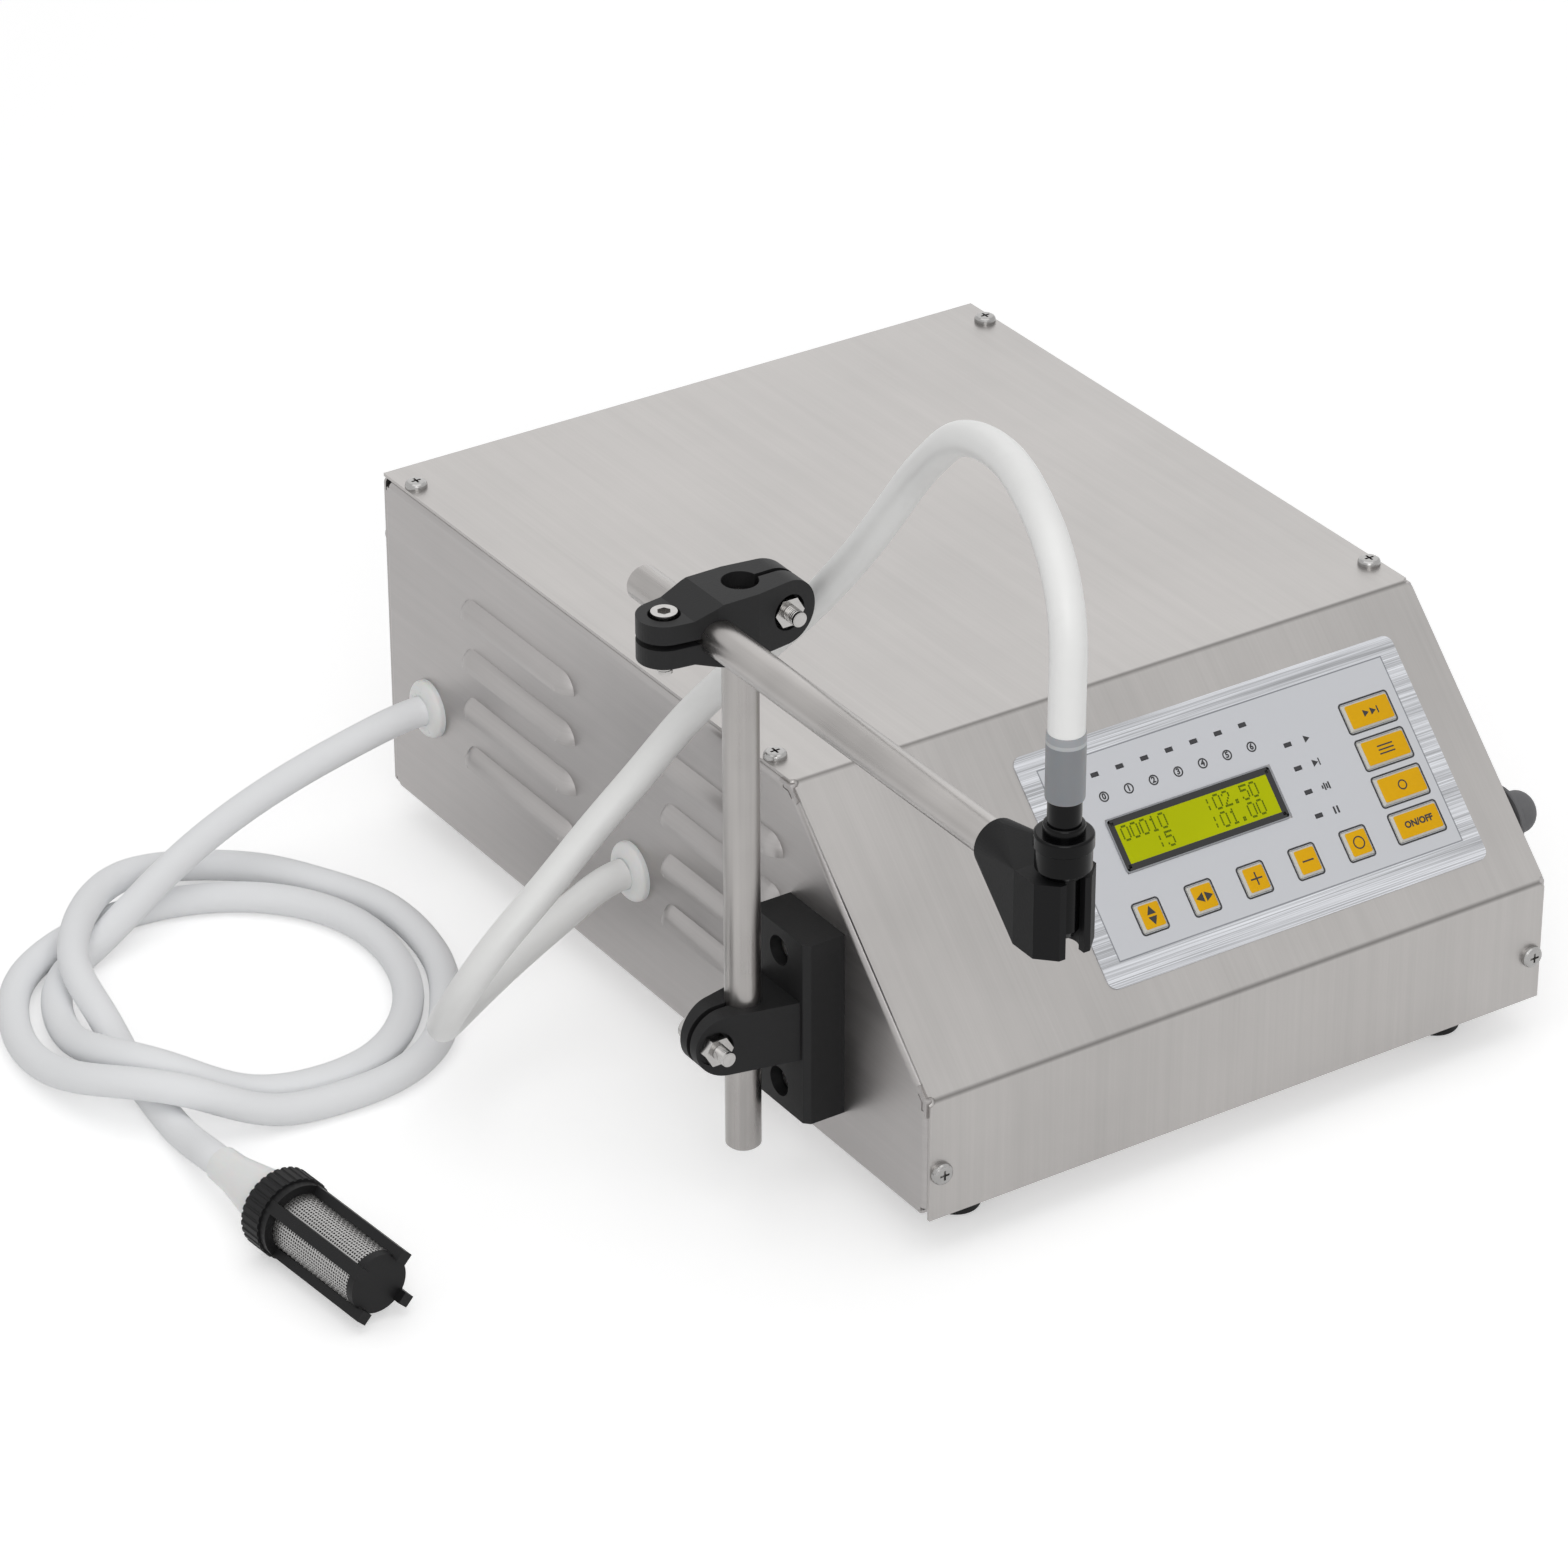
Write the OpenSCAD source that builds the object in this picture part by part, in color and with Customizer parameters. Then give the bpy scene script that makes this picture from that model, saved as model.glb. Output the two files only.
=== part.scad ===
// Benchtop liquid filling machine: a bent-sheet cabinet with a sloping control panel, a clamp stand
// at its left side that carries the filling nozzle, a pump inside and two silicone hoses.
// Lengths are in millimetres. X runs to the right, Y to the back, Z up, and the feet stand on Z = 0.

/* [Cabinet] */
// Width of the cabinet, left to right
box_w = 254; // [230:1:320]
// Depth of the cabinet, front to back
box_d = 343; // [335:1:420]
// Height of the cabinet with its feet
box_h = 140; // [132:1:170]
// Length of the sloping panel, from fold to fold
slope_len = 113; // [108:1:122]
// Tilt of the sloping panel
slope_angle = 45; // [40:1:48]
// Thickness of the sheet
sheet_t = 1.2; // [0.8:0.1:2]
// Outer radius of the bends
bend_r = 2.5; // [2.2:0.1:4]
// Width of the flanges that the covers are screwed to
flange_w = 14; // [12:1:18]
// Step from the side face to the edge of the cover
edge_step = 1; // [0.5:0.1:2]
// Length left open at the ends of each flange
fold_notch = 4; // [2:0.5:8]

/* [Feet] */
// Height of a foot
foot_h = 14.5; // [10:0.5:20]
// Diameter of a foot at its top
foot_d = 19; // [16:0.5:24]
// Distance from the side face to a foot's axis
foot_inset_x = 27; // [20:1:40]
// Distance from the front or back face to a foot's axis
foot_inset_y = 22.5; // [18:0.5:40]

/* [Louvres] */
// Louvres in one group
louver_count = 4; // [2:1:5]
// Length of a louvre
louver_len = 74; // [50:1:90]
// How far a louvre stands out
louver_proud = 4; // [2:0.5:5]
// Radius of the pressed hood
louver_r = 8; // [6:0.5:10]
// Distance from one louvre to the next
louver_pitch = 19.6; // [17:0.1:24]
// Height of the lowest louvre's mouth
louver_z = 51; // [40:1:60]
// Distance from the cabinet's front to the middle of the front group, as a share of its depth
louver_share = 0.353; // [0.35:0.001:0.37]
// Distance from the middle between the hose fittings to the middle of the rear group
louver_offset = 5.5; // [0:0.5:10]

/* [Screws] */
// Thread diameter of the cover screws
screw_d = 4; // [3:0.5:5]
// Distance from the side face to the cover screws
screw_inset = 5.3; // [5:0.1:7]
// Thread diameter of the clamp and bracket bolts
bolt_d = 5; // [4:0.5:6]

/* [Control panel] */
// Width of the label
label_w = 157; // [150:1:180]
// Length of the label down the slope
label_len = 83.5; // [80:0.5:90]
// Thickness of the label
label_t = 0.4; // [0.3:0.1:1]
// Distance from the side face to the label
label_inset = 18; // [16:0.5:22]
// Distance from the upper fold to the label
label_s = 15.5; // [12:0.5:18]
// Width of a square key
key_w = 9.4; // [8:0.2:11]
// Width of a wide key
wide_key_w = 19; // [16:0.5:22]
// Length of a key down the slope
key_l = 9.8; // [8:0.2:10.5]
// How far a key stands above the label
key_rise = 1; // [0.6:0.1:2]
// Width of a key's bevel
key_bevel = 0.7; // [0.4:0.1:1.2]
// How far a key travels
key_travel = 0.4; // [0.3:0.1:0.8]
// Gap round a key in its window
key_gap = 0.15; // [0.1:0.05:0.3]
// Distance from the label's middle to the first square key
key_column = 53.5; // [50:0.5:58]
// Distance from the label's upper edge to the square keys
key_row = 64.3; // [62:0.1:68]
// Distance between square keys
key_pitch = 21.4; // [18:0.1:23]
// Distance from the label's middle to the wide keys
wide_key_column = 57.5; // [56:0.5:60]
// Distance from the label's upper edge to the first wide key
wide_key_row = 23.4; // [20:0.1:26]
// Distance between wide keys
wide_key_pitch = 13.6; // [13.2:0.1:14]
// Width of the display window
lcd_w = 67.6; // [60:0.2:72]
// Length of the display window down the slope
lcd_l = 19.4; // [16:0.2:22]
// Depth of the control board under the panel
board_depth = 8; // [7:0.5:12]

/* [Hose fittings] */
// Outer diameter of the hoses
hose_d = 11; // [9:0.5:12]
// Inner diameter of the hoses
hose_bore = 8; // [6:0.5:8]
// Outer diameter of a wall collar
collar_d = 21.5; // [20:0.5:26]
// How far a wall collar stands out
collar_proud = 4; // [3:0.5:6]
// Height of the hose fittings' axes
port_z = 59; // [52:1:66]
// Distance from the cabinet's front to the outlet, as a share of its depth
outlet_share = 0.5175; // [0.515:0.0005:0.525]
// Distance from the cabinet's back to the inlet
inlet_y_in = 29.5; // [28:0.5:34]

/* [Stand] */
// Diameter of the post and the arm
rod_d = 12; // [10:0.5:14]
// Distance from the side face to the post's axis
post_reach = 29; // [28:0.5:36]
// Distance from the cabinet's front to the post's axis
post_y_in = 64; // [60:1:72]
// Length of the post
post_len = 203; // [195:1:260]
// Height of the post's lower end
post_z = 21; // [5:1:30]
// Width of the bracket's block
bracket_w = 32; // [28:1:40]
// Thickness of the bracket's block
bracket_t = 15; // [12:0.5:16]
// Height of the bracket's block
bracket_h = 68; // [60:1:80]
// Height of the bracket's middle
bracket_z = 65; // [60:1:70]
// Height of the bracket's clamp lug
lug_h = 22; // [20:1:26]
// Width of the bracket's clamp lug at the block
lug_w = 25; // [24:0.5:28]
// Width of the bracket's clamp lug at its end
lug_end_w = 9.6; // [9:0.2:12]
// Thickness of the cross clamp round the rods
clamp_t = 22; // [20:1:28]
// Thickness of the cross clamp's slit ends
clamp_end_t = 15; // [14:0.5:18]
// How far a clamp bolt stands out of its nut
bolt_tail = 5.5; // [2:0.5:10]
// Distance between the post's and the arm's axes
rod_gap = 15; // [14.5:0.5:20]
// Distance from the post's top to the clamp's top
post_recess = 5.5; // [2:0.5:7]
// Length of the arm
arm_len = 211; // [190:1:240]
// Length of the arm behind the post's axis
arm_tail = 34; // [26:1:60]
// Radial gap between a rod and its bore
rod_gap_r = 0.05; // [0.02:0.01:0.1]
// Width of the clamping slits
slit_w = 2; // [1.5:0.1:3]

/* [Nozzle] */
// Diameter of the spout
spout_d = 10; // [8:0.5:10]
// Length of the spout below the collar
spout_len = 20; // [12:1:24]
// Diameter of the collar
nozzle_collar_d = 18; // [15:0.5:20]
// Height of the collar
nozzle_collar_h = 17; // [12:1:22]
// Distance from the arm's end to the nozzle's axis
nozzle_gap = 17.5; // [15:0.5:24]
// Width of the holder's fork
fork_w = 22; // [20:0.5:26]
// Height of the holder's fork
fork_h = 25; // [22:1:32]
// Width of the fork's mouth
fork_mouth = 6.5; // [5:0.5:7]
// Length of the silicone sleeve
sleeve_len = 19; // [17:1:24]
// Outer diameter of the silicone sleeve
sleeve_d = 11.8; // [11.4:0.1:13]

/* [Strainer] */
// Diameter of the ribbed cap
strainer_d = 29; // [24:1:34]
// Length of the ribbed cap
strainer_cap_l = 9; // [8:1:14]
// Length of the cage beyond the cap
strainer_cage_l = 47.5; // [35:0.5:55]
// Length of the hose fitting behind the cap
strainer_fit_l = 32.1; // [26:0.1:38]

/* [Socket] */
// Length of the rubber cap outside the wall
cap_l = 15; // [13:0.5:20]
// Diameter of the rubber cap's foot
cap_d = 23; // [21:0.5:27]
// Distance from the cabinet's front to the socket
socket_y_in = 28; // [24:1:32]
// Distance from the slope's face straight down to the socket
socket_drop = 17.6; // [17:0.1:24]

/* [Pump] */
// Diameter of the motor
motor_d = 42; // [36:1:46]
// Length of the motor
motor_l = 62; // [50:1:70]
// Width and height of the pump head
head_w = 46; // [42:1:48]
// Length of the valve head
head_l = 20; // [16:1:24]
// Length of the crank housing
crank_l = 26; // [22:1:30]
// Offset of the eccentric
throw = 1.5; // [0.5:0.1:2.5]
// Bend radius of the inner hoses
inner_bend = 22; // [18:1:24]

/* [Rear panel] */
// Distance from the side face to the middle of the inlet and the switch
inlet_inset = 47; // [42:1:70]
// Height of the mains inlet
inlet_z = 50; // [40:1:55]
// Height of the switch
switch_z = 84; // [80:1:95]
// Length of the rocker
rocker_l = 17; // [14:0.5:20]
// Angle that the rocker turns
rocker_throw = 20; // [12:1:24]

/* [Hidden] */
$fn = 48;
eps = 0.01;
fit = 0.1;

// The cabinet's side outline in (y, z), from the lower rear corner anticlockwise
side_x = box_w / 2;
front_y = -box_d / 2;
rear_y = box_d / 2;
fold_y = front_y + slope_len * cos(slope_angle);
lip_z = box_h - slope_len * sin(slope_angle);
outline = [[rear_y, foot_h], [rear_y, box_h], [fold_y, box_h], [front_y, lip_z], [front_y, foot_h]];
tray_outline = inset(outline, [sheet_t, sheet_t, sheet_t, sheet_t, 0]);
wall_outline = inset(outline, [for (i = [0:4]) i == 4 ? bend_r : sheet_t + bend_r]);
floor_top = foot_h + sheet_t;

// Places of the screws
screw_from_back = 15.5;
screw_from_fold = 17;
screw_from_floor = 17.5;
rear_screw_in = 25;
screw_grip = 6;
screw_x = side_x - screw_inset;
top_screw_y = [rear_y - screw_from_back, fold_y + screw_from_fold];
front_screw_z = foot_h + screw_from_floor;
rear_screw_z = [foot_h + rear_screw_in, box_h - rear_screw_in];
screw_head_d = 2 * screw_d;
screw_len = 2 * sheet_t + screw_grip;
bolt_head_d = 1.7 * bolt_d;
nut_w = 1.85 * bolt_d;
nut_h = 0.8 * bolt_d;
counterbore_d = bolt_head_d + 2;

// Places on the slope: x from the middle, s down from the upper fold, w out from its face
label_x = side_x - label_inset - label_w / 2;
key_x = label_x - key_column;
key_s = label_s + key_row;
wide_key_x = label_x + wide_key_column;
wide_key_s = label_s + wide_key_row;
lamp_row_left = 51.3;
lamp_row_down = 13.7;
lamp_row = [label_x - lamp_row_left, label_s + lamp_row_down];
lamp_row_pitch = 10.1;
lamp_column_right = 22.7;
lamp_column_down = 25;
lamp_column = [label_x + lamp_column_right, label_s + lamp_column_down];
lamp_column_pitch = 8.7;
lamp_size = [2.8, 1.3];
lcd_left = 21;
lcd_down = 39;
lcd_x = label_x - lcd_left;
lcd_s = label_s + lcd_down;
lcd_t = label_t + 0.5;
lcd_ledge = 1.2;
key_flange = 1;
key_flange_t = 0.8;
key_top_gap = 0.1;
plunger_l = 0.6;
key_foot = sheet_t + key_top_gap + key_flange_t;
board_t = 1.6;
board_size = [label_w - 5, label_len - 8];
board_mid_s = label_s + label_len / 2 + 1;
standoff_d = 5;
standoff_x = board_size.x / 2 - 4;
standoff_y = board_size.y / 2 - 4;

// Hose fittings
outlet_at = front_y + outlet_share * box_d;
inlet_at = rear_y - inlet_y_in;
louver_y = [front_y + louver_share * box_d, (inlet_at + outlet_at) / 2 + louver_offset];
collar_neck_d = hose_d + 4.6;
collar_neck_l = 9;
collar_nut_h = 4;
hose_hole_d = hose_d + 2 * fit;

// Socket in the right wall
socket_y = front_y + socket_y_in;
socket_z = lip_z + socket_y_in * tan(slope_angle) - socket_drop;
socket_d = 12;
socket_l = 9;
socket_neck = 10;

// Stand
post_x = -side_x - post_reach;
post_y = front_y + post_y_in;
arm_x = post_x - rod_gap;
post_top = post_z + post_len;
clamp_top = post_top + post_recess;
arm_z = clamp_top - clamp_t / 2;
rod_bore_d = rod_d + 2 * rod_gap_r;
arm_bolt_x = arm_x - rod_d / 2 - bolt_d / 2 - 4.5;
post_bolt_x = post_x + rod_d / 2 + bolt_d / 2 + 4;
clamp_left = arm_bolt_x - bolt_d / 2 - 6.5;
clamp_right = post_bolt_x + bolt_d / 2 + 8;
clamp_seat = clamp_end_t / 2 - 2;
clamp_sink = 4;
bracket_bolt_x = post_x - rod_d / 2 - bolt_d / 2 - 6;
lug_end_x = bracket_bolt_x - bolt_d / 2 - 4;
lug_z = bracket_z + 0.5;
bracket_face_x = -side_x - bracket_t;
bracket_screw_z = [bracket_z - bracket_h / 2 + 9, bracket_z + bracket_h / 2 - 9];
bracket_sink = bolt_d + 4;
seat_d = 1.32 * nut_w;

// Nozzle and its holder
arm_back = post_y + arm_tail;
arm_front = arm_back - arm_len;
nozzle_x = arm_x;
nozzle_y = arm_front - nozzle_gap;
fork_top = arm_z + 6.5;
fork_bottom = fork_top - fork_h;
fork_front = nozzle_y - spout_d / 2 - 1.5;
fork_back = nozzle_y + spout_d / 2 + 4;
fork_chamfer = 5.5;
rim_r = rod_d / 2 + 2;
rim_back = arm_front + 16;
spout_z = fork_top - spout_len;
stem_d = sleeve_d - 1.6;
stem_l = 8;
collar_top = fork_top + nozzle_collar_h;
sleeve_z = collar_top + stem_l;
sleeve_top = sleeve_z + sleeve_len;

// Strainer, which lies on the ground at the end of the suction hose
strainer_at = [-297, -52.5];
strainer_turn = 5.3;
mesh_r = strainer_d / 2 - 4.2;
cage_r = strainer_d / 2 - 1;
cage_bar = 4.2;

// Pump, on one axis along X through the middle between the hose fittings
pump_y = (inlet_at + outlet_at) / 2;
head_in = 46;
head_x = head_in - side_x;
pump_z = port_z;
head_port_x = head_x + head_l / 2;
diaphragm_t = 2.5;
crank_x = head_x + head_l + diaphragm_t;
motor_x = crank_x + crank_l;
motor_end = motor_x + motor_l;
crank_bore_d = head_w - 12;
shaft_d = 6;
shaft_seat = 20;
cam_d = 18;
cam_l = crank_l - 10;
barb_l = 14;
barb_y = head_w / 2;
hose_start = 2;
base_t = 3;
saddle_l = 14;
saddle_w = motor_d + 20;
saddle_foot = 10;
saddle_x = [motor_x + saddle_l, motor_end - saddle_l];
strap_t = 1.5;
strap_screw_d = 3.8;
strap_screw_l = 7;
strap_screw_in = 4.2;

// Power supply, in front of the pump
supply_size = [78, 110, 36];
supply_gap = [13, 8];
supply_at = [
    side_x - supply_gap.x - supply_size.x / 2,
    pump_y - saddle_w / 2 - saddle_foot - supply_gap.y - supply_size.y / 2
];
supply_pad = 3;

// Mains inlet and switch in the rear panel
inlet_x = side_x - inlet_inset;
inlet_body = [27, 20, 15];
inlet_flange = [50, 24, 3];
inlet_pitch = 40;
cavity = [24, 16, 14];
cavity_corner = 4;
blade = [2, 4, 10];
switch_bezel = [rocker_l + 5, 15, 2];
switch_hole = [rocker_l + 2.4, 12.6];
switch_depth = 16;
rocker_w = 9;
rocker_rise = 3.2;
rocker_dip = 2;
rocker_reach = norm([rocker_l / 2, rocker_rise]);
rocker_pin_d = 2.4;
rocker_out = rocker_l / 2 * sin(rocker_throw / 2) + rocker_rise * cos(rocker_throw / 2);
rocker_y = rear_y + 1;

// The origin is the middle of the machine's own box on the ground, hoses and strainer left out
left_end = clamp_left;
right_end = side_x + cap_l;
front_end = nozzle_y - nozzle_collar_d / 2;
rear_end = rocker_y + rocker_out;
middle = [(left_end + right_end) / 2, (front_end + rear_end) / 2, 0];

// Route of the outlet hose, from the outlet collar up to the nozzle's sleeve
outlet_route = [
    [-131, 6, 60], [-154, 6, 52], [-175, 4, 43], [-197, -1, 35], [-215, -15, 39], [-217, -30, 58],
    [-206, -35, 76], [-187, -35, 92], [-167, -33, 107], [-149, -35, 124], [-136, -43, 144],
    [-129, -59, 165], [-126, -77, 185], [-124, -96, 205], [-122, -115, 227], [-121, -134, 251],
    [-122, -153, 275], [-128, -173, 293], [-135, -194, 309], [-142, -218, 320], [-150, -243, 326],
    [-159, -267, 327], [-166, -288, 320], [-170, -300, 304], [-171, -302, 287], [-171, -302, 269]
];
// Route of the suction hose, from the inlet collar round its loose loops to the strainer
suction_route = [
    [-131, 142, 59], [-155, 143, 55], [-177, 148, 46], [-198, 152, 36], [-220, 152, 26],
    [-242, 147, 17], [-263, 141, 8.5], [-283, 130, 6], [-296, 110, 6.5], [-302, 87, 9.5],
    [-301, 63, 16.5], [-289, 40, 18], [-269, 28, 9], [-246, 22.5, 6], [-222, 24.5, 6],
    [-201, 38.5, 6], [-187, 59, 6], [-180.5, 82, 6], [-181, 106, 6], [-191, 129, 6], [-208, 145, 6],
    [-230, 154, 6], [-254, 155, 6], [-277, 149, 6], [-297, 136, 6], [-310.5, 115, 6], [-317, 91, 7],
    [-316, 67, 11], [-307, 43, 17.5], [-290, 23, 18], [-267, 13, 8.5], [-243, 10, 6], [-219, 11.5, 6],
    [-198, 22, 6], [-182, 42, 6], [-171, 64, 6], [-166, 88, 6], [-167, 112, 6], [-177, 136, 6],
    [-191, 158, 6], [-212, 173, 6.5], [-236, 170, 12.5], [-257, 156, 17.5], [-274, 137.5, 19],
    [-285.5, 116, 17], [-288, 93, 11.5], [-291, 69, 6], [-294.5, 45, 6], [-297, 22, 6.5],
    [-299, 2, 10.5], [-300.5, -15.5, 14.5]
];
hose_sides = 10;

// Moves a route's ends to first and last, and spreads the two moves smoothly along it
function pulled(route, first, last) =
    let (n = len(route) - 1, a = first - route[0], b = last - route[n])
    [for (i = [0:n]) let (t = i / n, w = t * t * (3 - 2 * t)) route[i] + (1 - w) * a + w * b];

// Moves each edge of an anticlockwise outline inwards by its own distance
function edge_normal(a, b) = let (d = (b - a) / norm(b - a)) [-d.y, d.x];
function meet(n1, c1, n2, c2) =
    let (det = n1.x * n2.y - n1.y * n2.x)
    [(c1 * n2.y - c2 * n1.y) / det, (n1.x * c2 - n2.x * c1) / det];
function inset(p, d) = [
    for (i = [0:len(p) - 1])
        let (
            before = (i + len(p) - 1) % len(p),
            after = (i + 1) % len(p),
            n1 = edge_normal(p[before], p[i]),
            n2 = edge_normal(p[i], p[after])
        )
        meet(n1, p[i] * n1 + d[before], n2, p[i] * n2 + d[i])
];

// Points of an arc that rounds corner p between a and b with radius r
function rounded(a, p, b, r, steps = 6) =
    let (
        u = (a - p) / norm(a - p),
        v = (b - p) / norm(b - p),
        half = acos(u * v) / 2,
        reach = r / sin(half),
        centre = p + reach * (u + v) / norm(u + v),
        start = p + u * r / tan(half) - centre,
        turn = cross(u, v) > 0 ? -(180 - 2 * half) : 180 - 2 * half
    )
    [for (i = [0:steps]) centre + rot2(start, turn * i / steps)];
function rot2(p, a) = [p.x * cos(a) - p.y * sin(a), p.x * sin(a) + p.y * cos(a)];
function arc(centre, r, from, to, steps = 8) =
    [for (i = [0:steps]) centre + rot2([r, 0], from + (to - from) * i / steps)];

// Directions along a route, and cross directions carried along it without twist
function unit(v) = v / norm(v);
function tangents(p, first, last) = [
    for (i = [0:len(p) - 1])
        i == 0 ? first : i == len(p) - 1 ? last : unit(unit(p[i + 1] - p[i]) + unit(p[i] - p[i - 1]))
];
function carried(t, n, i = 0, done = []) =
    i == len(t) ? done
    : let (m = unit(n - (n * t[i]) * t[i])) carried(t, m, i + 1, concat(done, [m]));

module placed() {
    translate(-middle) children();
}

// Puts children on the slope: x across, s down from the upper fold, w outwards
module on_slope(x = 0, s = 0, w = 0) {
    translate([0, fold_y, box_h]) rotate([slope_angle, 0, 0]) translate([x, -s, w]) children();
}

// Puts children on a side wall, with their own z outwards and their own y up
module on_side(side, y, z) {
    translate([side * side_x, y, z]) rotate([90, 0, side * 90]) children();
}

// Puts children on the rear face, with their own z outwards and their own y up
module on_rear(x, z) {
    translate([x, rear_y, z]) rotate([90, 0, 180]) children();
}

module in_yz(width) {
    rotate([90, 0, 90]) linear_extrude(width, center = true) children();
}

module rounded_plate(w, l, t, r) {
    linear_extrude(t) rounded_rect(w, l, r);
}

module rounded_rect(w, l, r) {
    square([w - 2 * r, l], center = true);
    square([w, l - 2 * r], center = true);
    for (x = [-1, 1], y = [-1, 1]) translate([x * (w / 2 - r), y * (l / 2 - r)]) circle(r);
}

module ring(outer_d, inner_d, h) {
    difference() {
        cylinder(d = outer_d, h = h);
        translate([0, 0, -1]) cylinder(d = inner_d, h = h + 2);
    }
}

module hex(width, h) {
    cylinder(d = width / cos(30), h = h, $fn = 6);
}

module hex_nut(width, h, bore) {
    difference() {
        hex(width, h);
        translate([0, 0, -1]) cylinder(d = bore, h = h + 2);
    }
}

// Rod along Z with chamfered ends
module rod(d, l, chamfer = 0.8) {
    rotate_extrude() polygon([
        [0, 0], [d / 2 - chamfer, 0], [d / 2, chamfer], [d / 2, l - chamfer], [d / 2 - chamfer, l], [0, l]
    ]);
}

// Pan-head screw with a cross recess, its head above Z = 0
module pan_screw(d, l) {
    head_r = d;
    head_h = 0.6 * d;
    difference() {
        union() {
            rotate_extrude() polygon(concat(
                [[0, 0], [head_r, 0], [head_r, head_h / 3]],
                arc([head_r - head_h * 2 / 3, head_h / 3], head_h * 2 / 3, 0, 90, 4),
                [[0, head_h]]
            ));
            translate([0, 0, -l]) cylinder(d = d, h = l + eps);
        }
        for (a = [0, 90]) rotate(a) translate([-d * 0.45, -d * 0.1, head_h / 2])
            cube([d * 0.9, d * 0.2, head_h]);
    }
}

// Socket-head bolt, its head above Z = 0
module socket_bolt(d, l) {
    difference() {
        union() {
            cylinder(d = 1.7 * d, h = d);
            translate([0, 0, -l]) cylinder(d = d, h = l + eps);
        }
        translate([0, 0, d / 2]) hex(0.8 * d, d);
    }
}

// Runs a round tube of polygon section along a route
module swept_tube(route, d, first, last) {
    n = hose_sides;
    t = tangents(route, first, last);
    side = carried(t, cross(first, [0.3, 1, 0.2]));
    points = [
        for (i = [0:len(route) - 1], k = [0:n - 1])
            let (a = 360 * k / n)
            route[i] + d / 2 * (cos(a) * side[i] + sin(a) * cross(t[i], side[i]))
    ];
    walls = [
        for (i = [0:len(route) - 2], k = [0:n - 1])
            let (b = (k + 1) % n)
            [i * n + k, (i + 1) * n + k, (i + 1) * n + b, i * n + b]
    ];
    start = [for (k = [0:n - 1]) k];
    end = [for (k = [n - 1:-1:0]) (len(route) - 1) * n + k];
    polyhedron(points, concat([start, end], walls));
}

module cover_screw_places() {
    for (x = [-screw_x, screw_x]) {
        for (y = top_screw_y) translate([x, y, box_h]) children();
        translate([x, front_y, front_screw_z]) rotate([90, 0, 0]) children();
    }
}

module rear_screw_places() {
    for (x = [-screw_x, screw_x], z = rear_screw_z) on_rear(x, z) children();
}

module foot_places() {
    for (x = [-1, 1], y = [-1, 1])
        translate([x * (side_x - foot_inset_x), y * (box_d / 2 - foot_inset_y), 0]) children();
}

module screw_holes(d, l) {
    translate([0, 0, -l]) cylinder(d = d, h = l + 1);
}

// One flange: the bend from the wall and the leaf, along an edge of the tray's outline
module flange_strip(a, b, width, gap) {
    l = norm(b - a) - 2 * gap;
    translate([0, a.x, a.y]) rotate([atan2(b.y - a.y, b.x - a.x), 0, 0]) translate([side_x, gap + l, 0])
        rotate([90, 0, 0]) linear_extrude(l) {
            translate([-width, 0]) square([width - bend_r, sheet_t]);
            translate([-bend_r, bend_r]) intersection() {
                difference() {
                    circle(bend_r);
                    circle(bend_r - sheet_t);
                }
                translate([0, -bend_r]) square(bend_r);
            }
        }
}

module capsule(r, l) {
    rotate([0, 90, 0]) cylinder(r = r, h = l, center = true);
    for (x = [-l / 2, l / 2]) translate([x, 0, 0]) sphere(r);
}

// The upper half of a capsule that is sunk into the wall, which forms a louvre
module louver_body(r, low) {
    sunk = louver_r - louver_proud;
    straight = louver_len - 2 * sqrt(louver_r * louver_r - sunk * sunk);
    intersection() {
        translate([0, 0, -sunk]) capsule(r, straight);
        translate([-louver_len, 0, low]) cube([2 * louver_len, 2 * louver_r, 2 * louver_r]);
    }
}

module louver_places() {
    for (y = louver_y, i = [0:louver_count - 1])
        on_side(1, y, louver_z + i * louver_pitch) children();
}

// The right wall of the tray with its flanges and louvres
module tray_side() {
    difference() {
        union() {
            translate([side_x - sheet_t / 2, 0, 0]) in_yz(sheet_t) polygon(wall_outline);
            for (i = [0:3]) flange_strip(tray_outline[i], tray_outline[i + 1], flange_w, fold_notch);
            flange_strip(tray_outline[4], tray_outline[0], side_x + eps, fold_notch);
        }
        louver_places() louver_body(louver_r, -2 * sheet_t);
    }
    louver_places() difference() {
        louver_body(louver_r, -sheet_t);
        louver_body(louver_r - sheet_t, -2 * sheet_t);
    }
}

module base_tray() {
    color("silver") placed() difference() {
        union() {
            tray_side();
            mirror([1, 0, 0]) tray_side();
        }
        cover_screw_places() screw_holes(screw_d + fit, screw_len + 1);
        rear_screw_places() screw_holes(screw_d + fit, screw_len + 1);
        foot_places() translate([0, 0, foot_h - 1]) cylinder(d = screw_d + fit, h = sheet_t + 2);
        for (y = [outlet_at, inlet_at]) on_side(-1, y, port_z)
            translate([0, 0, -sheet_t - 1]) cylinder(d = collar_neck_d + fit, h = sheet_t + 2);
        for (z = bracket_screw_z) on_side(-1, post_y, z)
            translate([0, 0, -sheet_t - 1]) cylinder(d = bolt_d + 2 * fit, h = sheet_t + 2);
        on_side(1, socket_y, socket_z)
            translate([0, 0, -sheet_t - 1]) cylinder(d = socket_d + fit, h = sheet_t + 2);
    }
}

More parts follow.
